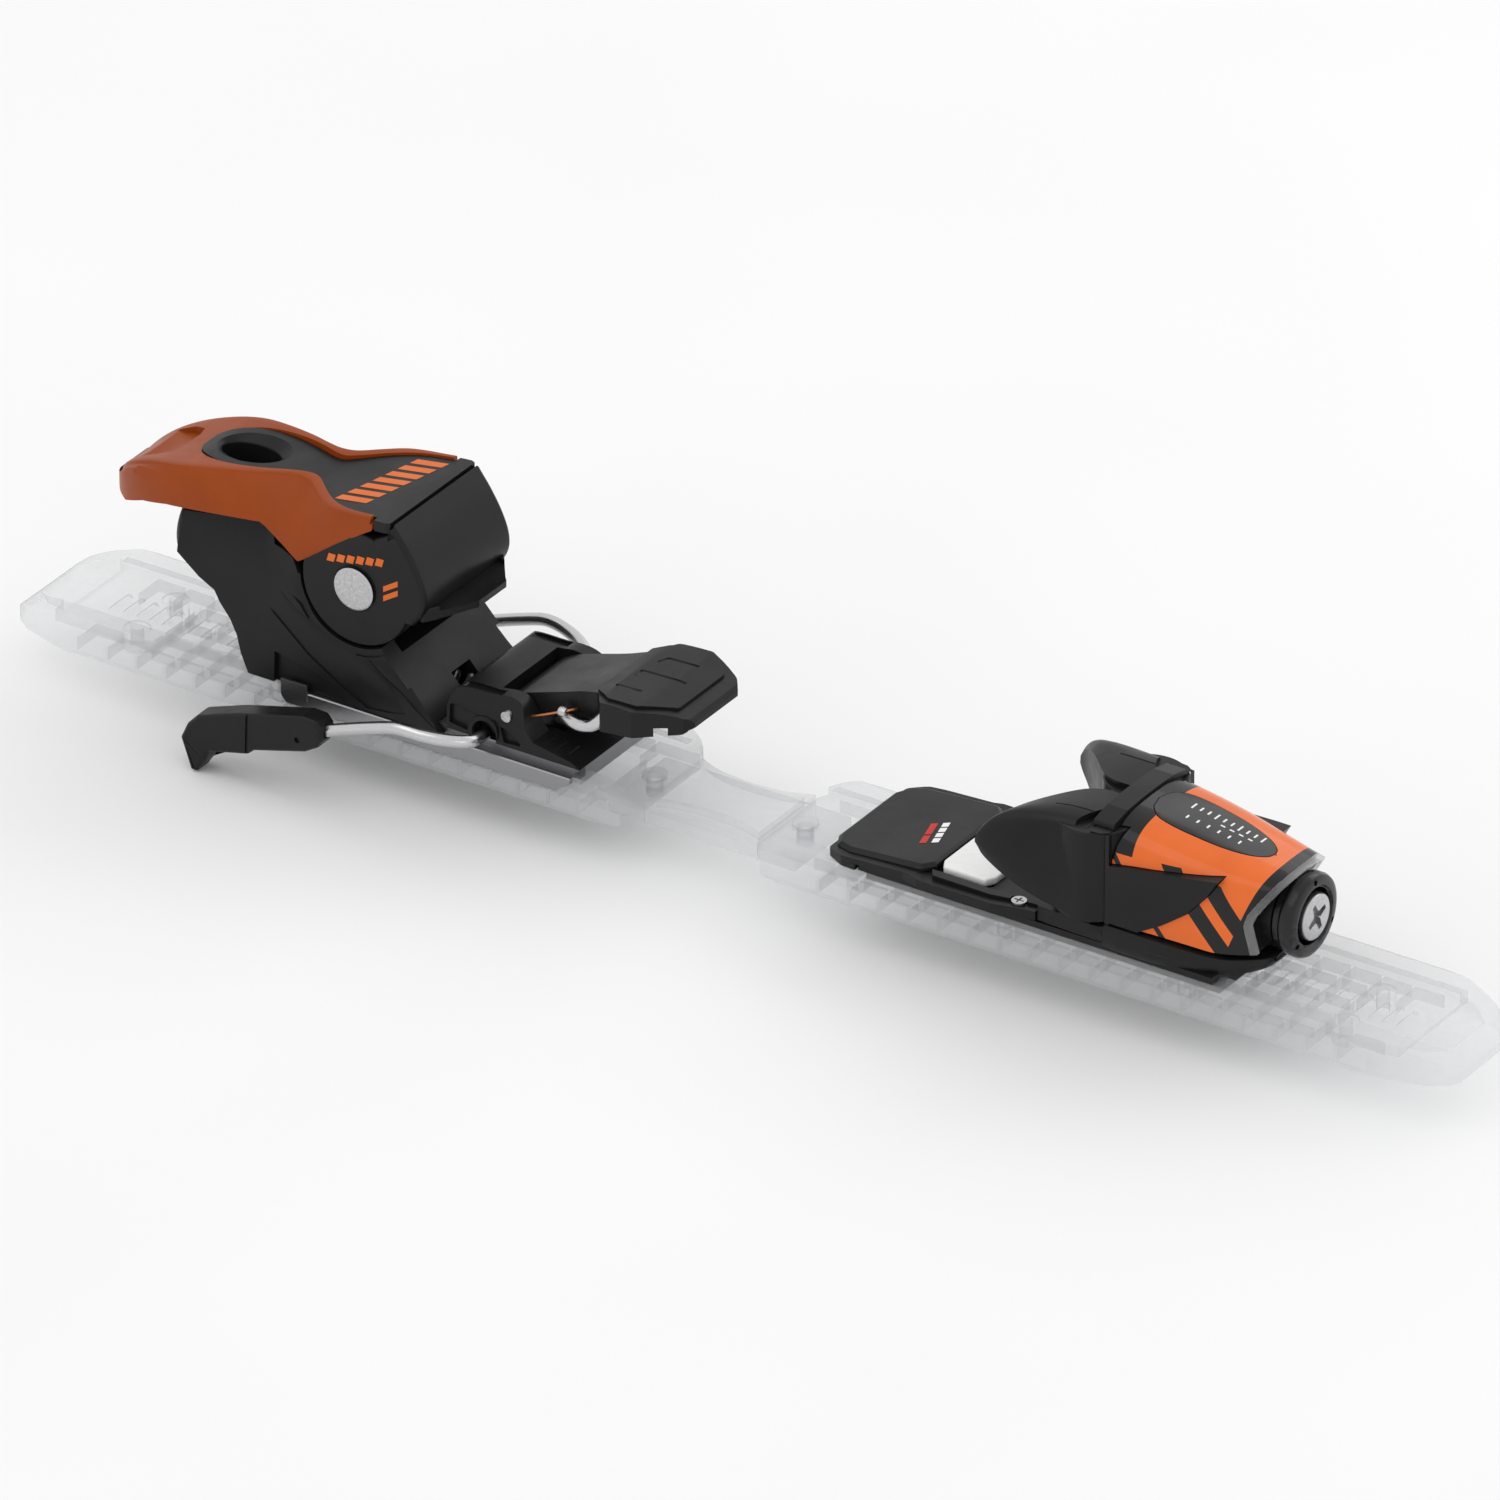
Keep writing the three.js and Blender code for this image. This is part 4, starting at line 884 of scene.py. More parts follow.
def brake_pedal():
    outline = rounded(mirrored([(-97, 17.8), (-84, 17.8), (-66, 17.4), (-56.5, 19), (-51, 27.2),
        (-36, 28), (-19, 18.6), (-16, 14.6)]),
                      [1, 3, 6, 4, 2, 3, 2, 2, 2, 2, 3, 2, 4, 6, 3, 1], 3)
    top = smooth([(-97, 35.5), (-92, 38), (-84, 40.8), (-72, 44.6), (-62, 48), (-52, 50.8), (-42, 51.6),
        (-28, 51.4), (-20.5, 50.2)], 3)
    profile = top + [(-17.4, 48.9), (-16.2, 47.0), (-16, 45), (-19.2, 42.8), (-50, 38.6), (-66, 35.6),
        (-84, 31.4), (-90, 28.8), (-95, 30)]
    pedal = keep(side(profile, -29, 29), pillow(outline, AT_PLAN, 24, 56, 0.5, 2))
    pedal = cut(pedal, side([(-78, 20), (-78, 35), (-58, 43.4), (-24, 45.4), (-24, 20)], -14, 14))
    pedal = cut(pedal, side([(-48, 20), (-48, 44), (-24, 45.4), (-24, 20)], -24, 24))
    # a crease along both flanks and teeth under the front edge
    for s in (-1, 1):
        pedal = cut(pedal, tube([(-50, s * 28.5, 44.4), (-42, s * 28.9, 45.2), (-30, s * 28.9, 45.6)],
            0.9, 10))
    for i in range(9):
        y = -16 + 4 * i
        pedal = cut(pedal, side([(-22, 40), (-22, 43.4), (-14, 45.2), (-14, 40)], y - 0.9, y + 0.9))
    pedal = cut(pedal, rod("y", 2.6, -31, 31, -92, 33, 28))
    return piece("brake_pedal", pedal, BLACK, "brake_pedal", width=0.7, angle=30)


brake_pedal()


def pedal_pad():
    outline = rounded(mirrored([(-57.4, 18.6), (-49, 24.4), (-36, 24.4), (-22.6, 15.6)]), 1.2, 3)
    top = [(-58, 49.6), (-52, 50.9), (-34, 51.6), (-22, 50.9), (-22, 51.9), (-34, 52.8), (-52, 52.2),
        (-58, 50.8)]
    pad = keep(side(top, -26, 26), plan(outline, 40, 60))
    # three grooves, each with a short hook at its end
    marks = [[(-52, -13.6), (-41, -13.6)], [(-50, 0.5), (-30, 0.5)], [(-46.5, 13.6), (-33, 13.6)],
             [(-52, -13.6), (-50.6, -17)], [(-50, 0.5), (-50, -4.6)], [(-46.5, 13.6), (-48.6, 9)]]
    for (x0, y0), (x1, y1) in marks:
        pad = cut(pad, tube([(x0, y0, 52.5), ((x0 + x1) / 2, (y0 + y1) / 2, 52.8), (x1, y1, 52.6)], 0.75,
            10))
    return piece("pedal_pad", pad, BLACK, "brake_pedal", width=0.3, angle=30)


pedal_pad()


def slider(x0, x1, half_top, top):
    left = [(24.1, 10.2), (24.1, 12.6), (20.1, 12.6), (20.1, 16.6), (half_top, 16.6), (half_top, top)]
    return cross(left + [(-a, b) for a, b in reversed(left)], x0, x1)


def pedal_loop():
    near = [(-74, -18.8, 33.4), (-70.5, -21.0, 35.4), (-66, -23.2, 36.0), (-61.6, -24.3, 36.3),
        (-57, -24.4, 37.6),
            (-53.4, -23.6, 40.6), (-51.4, -21.4, 43.2), (-50.6, -16, 43.2), (-50.2, -8, 40.4)]
    path = near + [(-50, 0, 39.6)] + [(x, -y, z) for x, y, z in reversed(near)]
    loop = tube(smooth(path, 6), WIRE_R, 24)
    return piece("pedal_loop", loop, WIRE, "brake_pedal", width=0, smooth_at=50)


pedal_loop()


def torsion_wires():
    for tag, s in (("right", -1), ("left", 1)):
        path = smooth([(-90, s * 23.4, 30.8), (-87, s * 23.6, 31.8), (-78.8, s * 23.6, 35.4),
            (-71, s * 22.4, 38.6), (-68, s * 20, 39.2),
                       (-67.4, s * 17.8, 39)], 5)
        piece("torsion_wire_" + tag, tube(path, 0.55, 12), COPPER, "brake_pedal", False,
            width=0, smooth_at=60)
        clip = turned([(-0.1, 1.0), (0, 1.9), (1.6, 2.2), (3.2, 1.9), (3.3, 1.0)], "x", s * 21.9, 38.2,
            24)
        for v in clip.data.vertices:
            v.co.x -= 72.5
        piece("wire_clip_" + tag, clip, STEEL, "brake_pedal", False, width=0.2, angle=40)


torsion_wires()


def heel_carriage():
    plate = slider(-206, -62, 27.4, 20)
    plate = cut(plate, block(-175, -161, -9, 9, 0, 30), block(-162, -121, -6.5, 6.5, 13.4, 30))
    plate = cut(plate, block(-210, -194, -30, 30, 0, 16.6))
    plate = join(plate, block(-206, -193, -27.4, 27.4, 16.6, 20))
    # thin strips lie on the rims and hug the outer edge of the rail
    for s in (-1, 1):
        strip = [(s * 26, 16.65), (s * 31.6, 16.65), (s * 32.0, 16.2), (s * 32.0, 10.2), (s * 31.2, 9.4),
            (s * 30.35, 10.0),
                 (s * 30.35, 16.1), (s * 26, 16.1)]
        strip = cross(strip if s > 0 else list(reversed(strip)), -193, -61)
        strip = keep(strip, side([(-193, 12.6), (-190, 9), (-69, 9), (-61.5, 14.5), (-61.5, 17),
            (-193, 17)], -33, 33))
        lug = block(-193, -181, *span(s, 31.35, 32.3), 13.4, 20.2)
        plate = join(plate, strip, lug)
    return piece("heel_carriage", plate, STEEL_PLATE, "heel_slider", width=0.3, angle=35)



heel_carriage()

# ---------------------------------------------------------------- toe
WING_X, WING_Y = 165, 17


def toe_base():
    base = slider(67, 224, 29.6, 19.3)
    base = cut(base, block(143, 157, -9, 9, 0, 30), block(50, 175.6, -31, 31, 19.2, 40))
    stations = [(175.8, 30.6, 27.4, 16.8), (184, 31, 27.6, 16.7), (200, 30.8, 27.4, 16.7),
        (214, 28.8, 26.2, 16.8), (224, 25.6, 25.2, 17.4),
                (232, 21, 25.2, 18.6), (238, 16.5, 25.4, 20.4), (240.6, 12.5, 25.4, 22.4)]
    rings = []
    for x, w, t, b in smooth(stations, 4):
        half = [(0, b), (w - 4, b), (w - 1.6, b + 0.6), (w - 0.3, b + 2.4), (w, (t + b) / 2),
            (w - 0.5, t - 2), (w - 1.6, t - 0.5), (w - 3, t), (0, t)]
        rings.append([(x, y, z) for y, z in half] + [(x, -y, z) for y, z in reversed(half[1:-1])])
    base = join(base, loft(rings))
    for s in (-1, 1):
        # a long scoop in each flank
        base = cut(base, tube([(188, s * 32.6, 21.6), (205, s * 32.4, 21.4), (219, s * 30.2, 21.4)],
            [1.2, 2.4, 1.2], 16))
    return piece("toe_base", base, BLACK, "toe_slider", width=0.4, angle=32)


toe_base()


def sole_plate():
    outline = rounded(mirrored([(50.4, 21), (52.4, 27), (60, 31), (66, 31.4), (88, 31.4), (95, 33),
        (128, 33.4), (140, 31), (146, 30)]),
                      [2, 3, 4, 4, 3, 3, 4, 3, 0.5, 0.5, 3, 4, 3, 3, 4, 4, 3, 2], 3)
    profile = [(50.2, 17), (50.4, 18.6), (52, 20.4), (58, 21.4), (70, 22.2), (92, 23.4), (96, 22.8),
        (146, 23.6), (146, 19.8), (66.4, 19.8), (66.4, 17)]
    plate = keep(side(profile, -34, 34), pillow(outline, AT_PLAN, 16.9, 30, 0.4, 2))
    raised = rounded(mirrored([(52.8, 18.4), (56, 24.2), (62, 26.4), (93, 26.4), (96.4, 22.6)]), 2, 3)
    rings = []
    for inset, lift in ((-1.6, -1.2), (-1.5, 0.0), (-0.2, 1.2), (0.4, 1.45)):
        rings.append([(x, y, 20.2 + (x - 50) * 0.072 + 1.0 + lift) for x, y in offset(raised, inset)])
    plate = join(plate, loft(rings))
    for s in (-1, 1):
        ridge = [(97.4, s * 25.6), (100, s * 29.4), (126, s * 29.6), (139, s * 27), (145.8, s * 26.4),
            (145.8, s * 24.8), (136, s * 25.2), (124, s * 26), (104, s * 25.4)]
        plate = join(plate, plan(ridge, 22, 24.6))
    plate = cut(plate, plan(rounded(mirrored([(97.4, 23.6), (122.6, 23.6)]), 1.6, 3), 21.8, 30))
    for y in (-27, 27):
        plate = cut(plate, rod("z", 3.5, 22, 30, 137, y, 32), rod("z", 1.9, 15, 30, 137, y, 20))
    for s in (-1, 1):
        # fine rib along the lower edge
        plate = cut(plate, tube([(60, s * 31.6, 19.2), (75, s * 31.9, 19.6), (88, s * 31.9, 20)], 0.6,
            10))
    return piece("sole_plate", plate, BLACK, "toe_slider", width=0.4, angle=30)


sole_plate()


def sole_top(x, y):
    """Height of the raised panel of the sole plate."""
    return 20.2 + (x - 50) * 0.072 + 1.0 + 1.45


def slide_pad():
    outline = rounded(mirrored([(98.2, 18.5), (100.6, 22.9), (119.4, 22.9), (121.8, 18.5)]), 1.6, 4)
    pad = pillow(outline, AT_PLAN, 22.1, 25.5, 0.9, 4)
    return piece("afd_pad", pad, WHITE, "toe_slider", width=0, smooth_at=40)


slide_pad()

HOOD = [(178, 28.4, 69.8, 28.8), (188, 28.2, 68.4, 28.6), (200, 27.5, 66.6, 28.4),
    (212, 26.2, 64.6, 27.8),
        (222, 24.7, 62.8, 27.2), (233, 22.4, 61, 28.6), (243, 20, 59.4, 31), (247, 19, 58.8, 32)]


def hood(inset, drop=0.0, x0=None, x1=None):
    rings = []
    for x, w, t, b in smooth(HOOD, 4):
        if (x0 is not None and x < x0 - 1e-6) or (x1 is not None and x > x1 + 1e-6):
            continue
        h = t - b
        half = smooth([(w * 0.995, b), (w, b + 0.25 * h), (w * 0.992, b + 0.5 * h),
            (w * 0.955, b + 0.70 * h), (w * 0.86, b + 0.85 * h),
                       (w * 0.68, b + 0.945 * h), (w * 0.40, b + 0.99 * h), (0, t)], 3)
        pts = []
        for y, z in half:
            k = max(0.0, (z - b) / h)
            pts.append((y - inset * (1 - 0.35 * k), z - inset * k))
        pts[-1] = (0, pts[-1][1])
        low = (pts[0][0], b - drop)
        ring = [low] + pts + [(-y, z) for y, z in reversed(pts[:-1])] + [(-low[0], low[1])]
        rings.append([(x, y, z) for y, z in ring])
    return loft(rings)


FIN = [(177.6, 28.6), (177.6, 53.0), (186, 54.4), (205, 56.4), (223.4, 58.2), (219.4, 51.4), (211, 41.6),
    (200, 33.6), (190.4, 28.2)]
RIM_CUT = [(237.4, 20), (232.6, 41), (234, 46), (244.6, 61.5), (262, 61.5), (262, 20)]
WINDOW = [(181.2, 0), (182.6, 6), (187, 10.4), (195, 11.8), (205, 11.6), (216, 10.4), (226, 7.4),
    (231.4, 3.6), (232.8, 0)]


def fin_solid(grow):
    body = side(offset(FIN, -grow), -32, 32)
    half = [(178, 29.6 + grow), (190, 29.2 + grow), (204, 28.2 + grow), (216, 26.9 + grow),
        (226, 25.4 + grow)]
    return keep(body, plan(mirrored(half), 20, 70))


def toe_cover():
    shell = cut(hood(0), hood(2.3, 8))
    shell = cut(shell, side(RIM_CUT, -40, 40), fin_solid(0.25))
    window = smooth(mirrored(WINDOW)[:-1], 3)
    shell = cut(shell, plan([(x, y) for x, y in window], 56, 76))
    for s in (-1, 1):
        shell = cut(shell, rod("z", 17.2, 20, 66.6, WING_X, s * WING_Y, 64))
    return piece("toe_cover", shell, PRINT, "toe_slider", width=0.35, angle=35)


def cover_skin():
    """The clear lip that stands ahead of the printed hood."""
    lip = cut(hood(-0.15), hood(1.7, 8))
    lip = keep(lip, side([(237.7, 20), (232.9, 41), (234.3, 46), (244.9, 61.8), (262, 61.8), (262, 20)],
        -40, 40))
    lip = cut(lip, side([(240.6, 20), (235.8, 41.6), (237.4, 45.4), (247.2, 60.2), (247.2, 80),
        (290, 80), (290, 20)], -40, 40))
    return piece("cover_lip", lip, CLEAR_GLOSS, "toe_slider", False, width=0.25, angle=35)


def toe_window():
    lens_edge = offset(smooth(mirrored(WINDOW)[:-1], 3), 0.35)
    pane = cut(keep(hood(-0.1), plan(lens_edge, 50, 80)), hood(1.7, 8))
    return piece("toe_window", pane, LENS, "toe_slider", width=0.25, angle=35)


toe_cover()
cover_skin()
toe_window()


def hood_top(x, y):
    """Height of the hood's crown over a point near its middle."""
    pts = smooth(HOOD, 6)
    for (x0, w0, t0, b0), (x1, w1, t1, b1) in zip(pts, pts[1:]):
        if x0 <= x <= x1:
            k = (x - x0) / (x1 - x0)
            w, t, b = w0 + (w1 - w0) * k, t0 + (t1 - t0) * k, b0 + (b1 - b0) * k
            return t - (t - b) * 0.012 * (abs(y) / (0.4 * w)) ** 2
    return pts[-1][2]


def ink(name, marks, height, material, body, thick=0.12, sink=0.25):
    """Thin printed bars on a surface: each mark is an outline in plan, and height gives z there."""
    solids = []
    for outline in marks:
        n = len(outline)
        verts = [(x, y, height(x, y) - sink) for x, y in outline] + [(x, y, height(x, y) + thick) for x,
            y in outline]
        faces = [list(range(n)), list(range(2 * n - 1, n - 1, -1))]
        faces += [[i, n + i, n + (i + 1) % n, (i + 1) % n] for i in range(n)]
        solids.append(make(verts, faces))
    first = solids[0]
    bm = bmesh.new()
    for ob in solids:
        bm.from_mesh(ob.data)
    bm.to_mesh(first.data)
    bm.free()
    for ob in solids[1:]:
        bpy.data.objects.remove(ob)
    return piece(name, first, material, body, False, width=0, smooth_at=30)


def bar_mark(x, y, length, width, angle=0.0, lean=0.0):
    c, s = math.cos(math.radians(angle)), math.sin(math.radians(angle))
    pts = [(-length / 2, -width / 2), (length / 2, -width / 2), (length / 2 + lean, width / 2),
        (-length / 2 + lean, width / 2)]
    return [(x + a * c - b * s, y + a * s + b * c) for a, b in pts]


scale = [bar_mark(194 + 3.4 * i, 4.6, 0.7, 2.6 if i % 3 else 3.8) for i in range(10)]
scale += [bar_mark(196 + 4.6 * i, -3.2, 0.7, 2.0) for i in range(6)]
scale += [bar_mark(209 + 4 * i, 0.9, 1.9, 0.7) for i in range(4)]
ink("window_scale", scale, lambda x, y: hood_top(x, y) + 0.12, WHITE, "toe_slider")


def toe_housing():
    outline = mirrored([(146.4, 29), (160, 29.8), (171.4, 30), (175.4, 30)])
    body = plan(outline, 19.8, 26)
    web = side([(150, 19.9), (175.4, 19.9), (175.4, 27.9), (178.2, 28), (178.2, 66), (160, 66),
        (156, 60), (156, 26)], -29.6, 29.6)
    body = join(body, web)
    core = cut(hood(2.7), side([(239.8, 20), (235, 41), (236.4, 46), (240.6, 52), (246, 70), (262, 70),
        (262, 20)], -40, 40))
    core = cut(core, block(170, 250, -40, 40, 0, 28.1))
    # the socket that carries the adjusting screw
    nose = turned([(226, 15.2), (240.2, 15.2)], "x", 0, 40, 64)
    body = join(body, core, cut(nose, block(200, 250, -30, 30, 0, 27.9)), fin_solid(0))
    # cap over the wing hinges
    cap = cross(rounded([(-26.4, 66.4), (26.4, 66.4), (25.2, 68.4), (16, 70.4), (6, 70.9), (-6, 70.9),
        (-16, 70.4), (-25.2, 68.4)], 1, 2), 168.8, 177.7)
    cap = cut(cap, tube([(171, -30, 71.6), (171, -15, 71.7), (171, 0, 72.2), (171, 15, 71.7),
        (171, 30, 71.6)], 0.9, 12))
    body = join(body, cap)
    for s in (-1, 1):
        post = plan([(170.5, s * 18), (177.7, s * 18), (177.7, s * 28.6), (174.6, s * 30.6),
            (170.5, s * 31)], 24, 66.5)
        post = keep(post, side([(168, 24), (179, 24), (179, 66.6), (168, 66.6)], -33, 33))
        body = join(body, post)
    for s in (-1, 1):
        body = cut(body, rod("z", 17.0, 26.4, 66.35, WING_X, s * WING_Y, 96))
        body = join(body, rod("z", 6, 25, 27.2, WING_X, s * WING_Y, 32))
        body = cut(body, rod("z", 3.4, 19, 66.3, WING_X, s * WING_Y, 32))
    body = cut(body, rod("x", 11.4, 182, 250, 0, 40, 48))
    return piece("toe_housing", body, BLACK, "toe_slider", width=0.35, angle=32)


toe_housing()


def toe_collar():
    ring = turned([(240.7, 15.0), (241.4, 15.7), (243.6, 15.8), (244.2, 16.4), (245.2, 16.8),
        (248.4, 16.8), (249.8, 16.1), (250.6, 14.4),
                   (250.5, 12.4), (249.6, 11.7)], "x", 0, 40, 96)
    ring = cut(ring, turned([(240, 11), (248.2, 11), (252, 12.2)], "x", 0, 40, 72))
    for k in range(3):
        a = math.radians(90 + 120 * k)
        ring = cut(ring, rod("x", 1.1, 248.6, 252, 14.2 * math.cos(a), 40 + 14.2 * math.sin(a), 20))
    return piece("toe_collar", ring, BLACK_GLOSS, "toe_slider", width=0.2, angle=35)


toe_collar()


def toe_din_screw():
    head = turned([(214, 4.5), (246.4, 4.5), (246.45, 8.8), (246.9, 9.4), (250.4, 9.4), (251.1, 9.0),
        (251.4, 8.3), (251.4, 6.2), (251.25, 0)], "x", 0, 40, 72)
    arms = [cross([(math.cos(a) * u - math.sin(a) * v, 40 + math.sin(a) * u + math.cos(a) * v) for u, v in
                   [(-6, -1.0), (-2, -1.5), (2, -1.5), (6, -1.0), (6, 1.0), (2, 1.5), (-2, 1.5),
                       (-6, 1.0)]], 248.6, 252) for a in (0.4, 0.4 + math.pi / 2)]
    head = cut(head, *arms)
    head = cut(head, turned([(248.4, 1.2), (252, 2.9)], "x", 0, 40, 32))
    return piece("toe_din_screw", head, STEEL_TURNED, "toe_din_screw", width=0.18, angle=35)


toe_din_screw()

# x: (y, z) of the lower outside, outside, upper outside, crown, inner crown and inner lower edges
WING = [
    (124.3, [(37.0, 49.4), (38.2, 51.0), (37.8, 53.0), (36.6, 54.0), (35.0, 53.0), (34.8, 50.0)]),
    (126.5, [(37.6, 46.6), (38.9, 50.2), (38.2, 55.2), (35.8, 57.8), (33.2, 56.4), (33.2, 47.6)]),
    (130, [(38.0, 44.4), (39.2, 49.4), (38.0, 57.0), (34.4, 61.6), (30.4, 60.2), (30.4, 46.2)]),
    (135, [(38.0, 41.4), (39.0, 48.6), (37.2, 58.6), (32.6, 64.6), (25.4, 63.6), (25.6, 44.6)]),
    (141, [(37.4, 38.0), (38.2, 47.6), (36.0, 59.6), (31.0, 66.2), (19.2, 65.6), (19.4, 43.8)]),
    (147, [(36.4, 35.2), (37.2, 46.8), (34.6, 60.2), (29.4, 67.2), (12.6, 66.8), (12.8, 43.6)]),
    (153, [(35.4, 32.8), (35.9, 46.2), (33.2, 60.8), (27.8, 67.9), (6.4, 67.6), (6.6, 43.6)]),
    (159, [(34.0, 30.8), (34.4, 45.8), (32.0, 61.2), (26.8, 68.3), (3.8, 68.1), (4.0, 40.0)]),
    (164, [(33.2, 29.2), (33.5, 45.4), (31.2, 61.4), (26.2, 68.4), (3.6, 68.3), (3.6, 32.0)]),
    (168.3, [(32.6, 28.2), (33.0, 45.2), (30.8, 61.4), (25.8, 68.4), (3.6, 68.3), (3.6, 29.0)]),
]


def toe_wing(tag, s):
    flat = [(x, *[c for p in pts for c in p]) for x, pts in WING]
    columns = []
    for a, b in zip(flat, flat[1:]):
        for k in range(4):
            t = k / 4
            columns.append([u + (v - u) * t for u, v in zip(a, b)])
    columns.append(list(flat[-1]))
    # ease the stations so that the skin flows
    for _ in range(3):
        columns = [columns[0]] + [[(p + 2 * q + r) / 4 for p, q, r in zip(a, b, c)] for a, b,
            c in zip(columns, columns[1:], columns[2:])] + [columns[-1]]
    rings = []
    for col in columns:
        pts = [(col[1 + 2 * i], col[2 + 2 * i]) for i in range(6)]
        outer = smooth(pts[:5], 4)
        rings.append([(col[0], s * y, z) for y, z in outer + [pts[5]]])
    wing = loft(rings)
    knuckle = turned([(27.8, 15.8), (28.4, 16.4), (65.4, 16.4), (66.0, 15.9)], "z", WING_X, s * WING_Y,
        96)
    wing = join(wing, knuckle)
    lip = smooth([(119, 37), (126, 35.4), (134, 31.4), (141, 25.6), (147, 18.6), (151.5, 10), (153, 2)],
        4)
    wing = cut(wing, plan([(x, s * y) for x, y in lip] + [(119, s * 2)], 20, 43.4))
    # the crown steps down where it turns in under the cap
    wing = cut(wing, plan([(x, s * y) for x, y in [(168.7, 17), (165.6, 22.6), (163.4, 27.6),
        (162.6, 36), (180, 36), (180, 17)]], 66.2, 76))
    wing = cut(wing, rod("z", 3.4, 19, 66.2, WING_X, s * WING_Y, 32))
    # fine relief line over the shoulder
    wing = cut(wing, tube([(150, s * 22.4, 68.1), (157, s * 21.6, 68.75), (163, s * 21.4, 68.9),
        (169, s * 21.4, 68.9)], 0.5, 8))
    piece("toe_wing_" + tag, wing, BLACK, "toe_wing_" + tag, width=0.45, angle=34)
    pin = turned([(20, 2.6), (20.4, 3.0), (65.4, 3.0), (65.8, 2.6)], "z", WING_X, s * WING_Y, 28)
    piece("wing_pin_" + tag, pin, STEEL, "toe_slider", width=0, smooth_at=40)


for tag, s in (("right", -1), ("left", 1)):
    toe_wing(tag, s)

# ---------------------------------------------------------------- generic printed marks
def poly_height(points):
    """Height of a side profile over x."""
    def at(x, y):
        for (x0, z0), (x1, z1) in zip(points, points[1:]):
            if x0 <= x <= x1:
                return z0 + (z1 - z0) * (x - x0) / (x1 - x0)
        return points[-1][1]
    return at


def slanted(cx, cy, along, across, u0, u1, v0, v1, lean=0.25):
    """A four-cornered mark laid out in its own u, v axes."""
    corners = [(u0 + lean * v0, v0), (u1 + lean * v0, v0), (u1 + lean * v1, v1), (u0 + lean * v1, v1)]
    return [(cx + u * along[0] + v * across[0], cy + u * along[1] + v * across[1]) for u, v in corners]


insert_top = poly_height(INSERT_TOP)
along, across = (0.24, 0.97), (0.97, -0.24)
marks = [slanted(-164.5, 1.5, along, across, -21 + 6.4 * i, -17 + 6.4 * i, -6.2, 6.6,
    0.35) for i in range(7)]
ink("insert_marks", marks, insert_top, ORANGE_INK, "heel_lever")

bands = [slanted(81.5, -3.5, (-0.28, 0.96), (0.96, 0.28), a, b, c, d, 0.3) for a, b, c, d in (
    (-9, -5.6, 3.4, 6.0), (-4.6, -1.4, 3.4, 6.0), (-0.4, 2.8, 3.4, 6.0), (3.8, 7, 3.4, 6.0), (-9, -3, -1,
        1.6), (-2, 7, -1, 1.6))]
ink("sole_marks", bands[:4], sole_top, WHITE, "toe_slider")
ink("sole_accent", bands[4:], sole_top, RED_INK, "toe_slider")

disc_marks = []
for k in range(6):
    u = -173.0 + 4.4 * k
    disc_marks.append([(u, 76.4 + 0.20 * (u + 173)), (u + 3.2, 76.4 + 0.20 * (u + 176.2) - 0.5),
        (u + 4.2, 79.8 + 0.20 * (u + 173)),
                       (u + 1.0, 79.8 + 0.20 * (u + 173))])
disc_marks.append([(-147.2, 66.4), (-140.6, 70.6), (-140.6, 73.0), (-147.2, 68.8)])
disc_marks.append([(-147.2, 70.4), (-140.6, 74.6), (-140.6, 77.0), (-147.2, 72.8)])
solids = [side(pts, -29.93, -29.6) for pts in disc_marks]
disc_ink = solids[0]
disc_ink = join(disc_ink, *solids[1:])
piece("disc_marks", disc_ink, ORANGE_INK, "heel_cup", False, width=0, smooth_at=30)

# ---------------------------------------------------------------- nodes that keep their CAD shape
slot_of = {p["node"]: p["material_slot"] for p in frame["record"]["subparts"]}
for name, ob in nodes.items():
    if ob.hide_render:
        continue
    dress(ob, BY_SLOT[slot_of[name]], 0.35)

# ---------------------------------------------------------------- stage
low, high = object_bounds()


def plane(name, half, z, material):
    mesh = bpy.data.meshes.new(name)
    mesh.from_pydata([(-half, -half, z), (half, -half, z), (half, half, z), (-half, half, z)], [],
        [[0, 1, 2, 3]])
    ob = bpy.data.objects.new(name, mesh)
    bpy.context.scene.collection.objects.link(ob)
    ob.data.materials.append(material)
    return ob


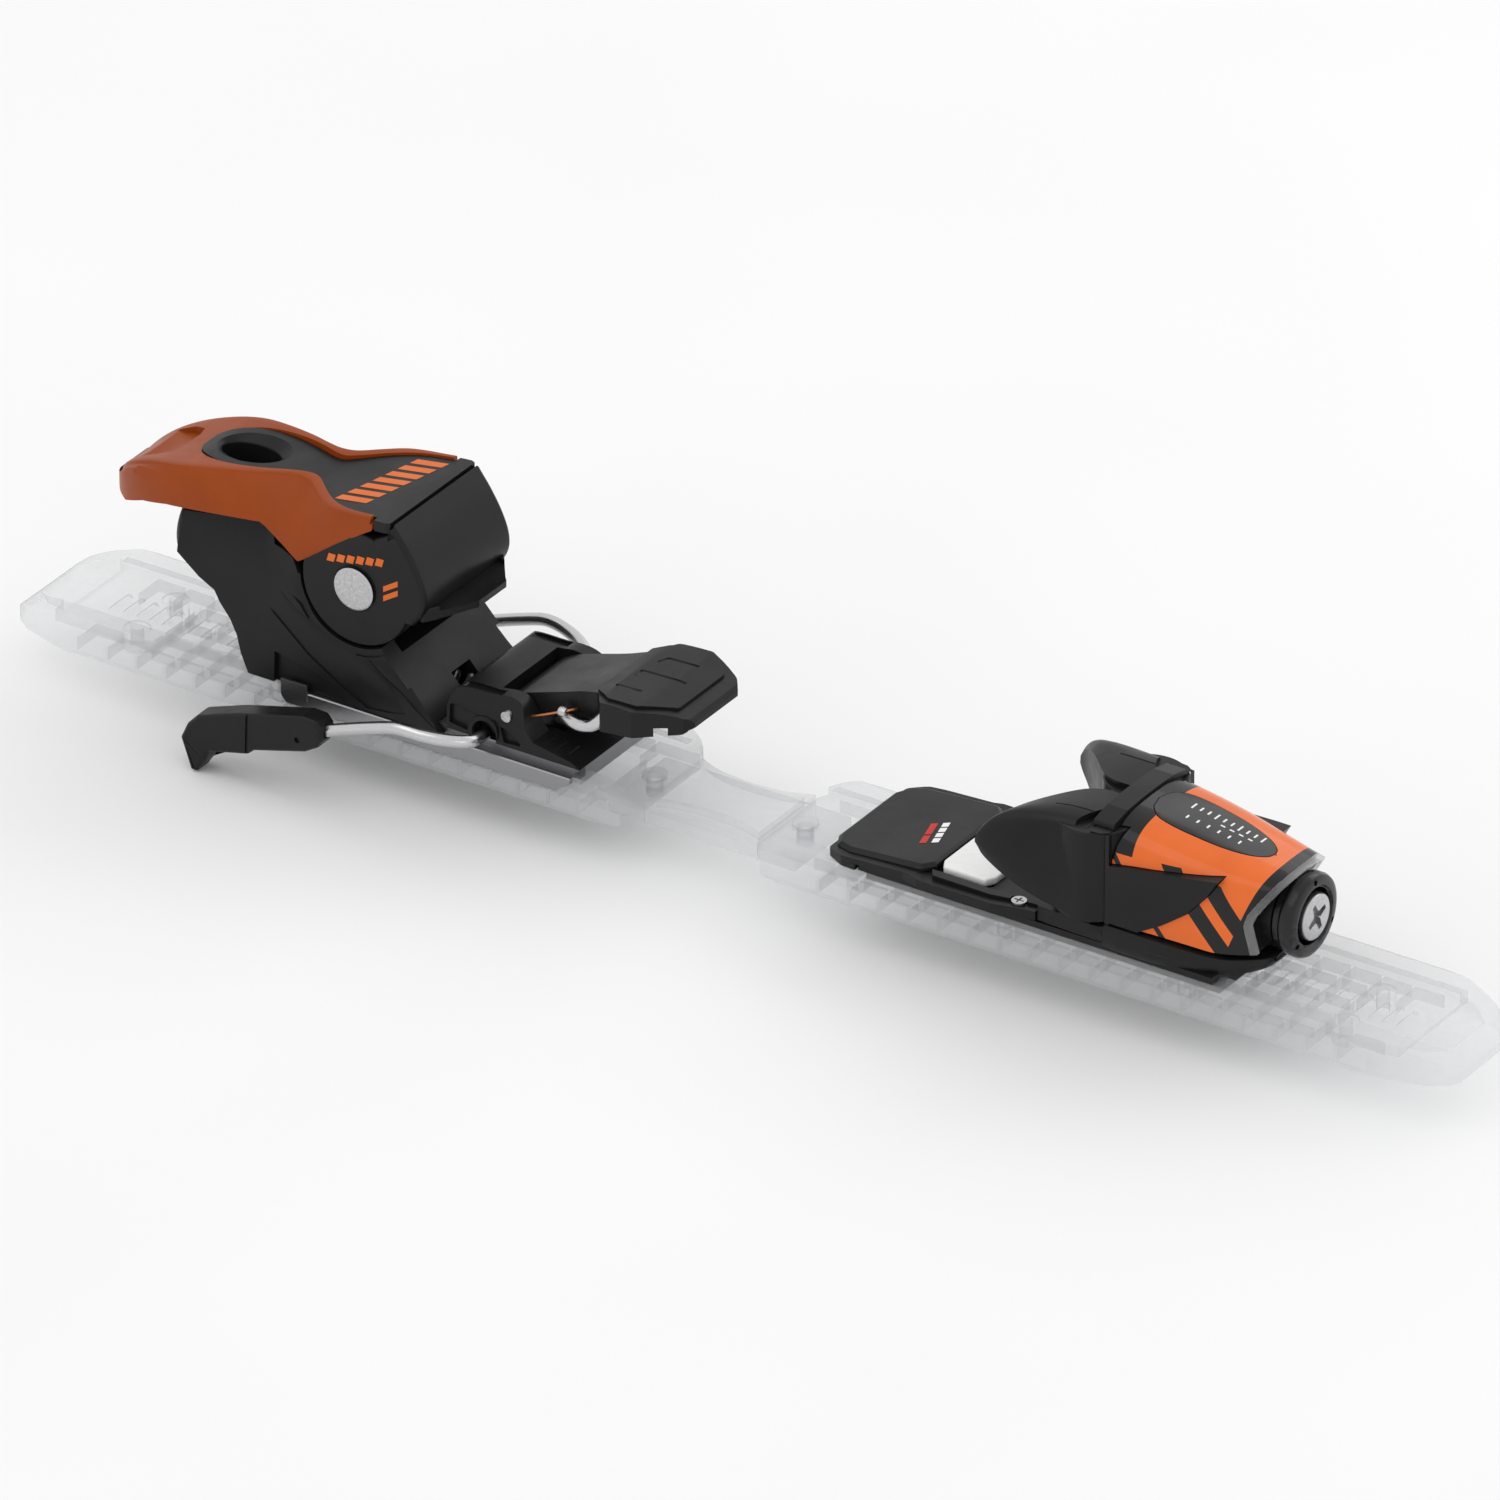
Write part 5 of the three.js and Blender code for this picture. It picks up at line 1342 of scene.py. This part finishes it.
floor_mat, floor_tree, floor_bsdf = shader("pale_floor")
floor_tree.links.new(
    ramp(floor_tree, noise(floor_tree, 3, 2), [(0.3, 0.86),
        (0.7, 0.89)]), floor_bsdf.inputs["Base Color"])
floor_bsdf.inputs["Roughness"].default_value = 0.9
floor_bsdf.inputs["Specular IOR Level"].default_value = 0.1
plane("floor", 30, low.z - 0.0005, floor_mat)


def light(name, at, aim, size, power):
    data = bpy.data.lights.new(name, "AREA")
    data.shape = "RECTANGLE"
    data.size, data.size_y = size
    data.energy = power
    ob = bpy.data.objects.new(name, data)
    bpy.context.scene.collection.objects.link(ob)
    ob.location = at
    ob.rotation_mode = "QUATERNION"
    ob.rotation_quaternion = (Vector(aim) - Vector(at)).to_track_quat("-Z", "Y")
    return ob


light("key", (-0.6, -1.0, 1.9), (0, 0, 0.03), (1.8, 1.3), 6)
light("back", (0.5, 1.6, 1.3), (0, 0, 0.03), (2.2, 1.0), 7)
light("front", (1.7, -1.1, 0.8), (0, 0, 0.03), (1.0, 1.0), 1.5)

world = bpy.data.worlds.new("studio")
bpy.context.scene.world = world
world.use_nodes = True
sky = world.node_tree.nodes["Background"]
sky.inputs["Color"].default_value = (1, 1, 1, 1)
sky.inputs["Strength"].default_value = 0.93

# ---------------------------------------------------------------- camera
AZIMUTH, ELEVATION = math.radians(33.3), math.radians(29.5)
right = Vector((math.cos(AZIMUTH), math.sin(AZIMUTH), 0))
up = Vector((-math.sin(AZIMUTH) * math.sin(ELEVATION), math.cos(AZIMUTH) * math.sin(ELEVATION),
    math.cos(ELEVATION)))
back = right.cross(up)
target = right * -0.00083 + up * 0.02906
camera_data = bpy.data.cameras.new("camera")
camera_data.lens, camera_data.sensor_width = 600, 36
camera = bpy.data.objects.new("camera", camera_data)
bpy.context.scene.collection.objects.link(camera)
distance = 0.56604 * 600 / 36
camera.location = target + back * distance
camera.rotation_mode = "QUATERNION"
camera.rotation_quaternion = back.to_track_quat("Z", "Y")
camera_data.clip_start, camera_data.clip_end = 0.5, 60
bpy.context.scene.camera = camera

scene = bpy.context.scene
scene.view_settings.view_transform = "Standard"
scene.view_settings.look = "None"

bpy.context.view_layer.update()
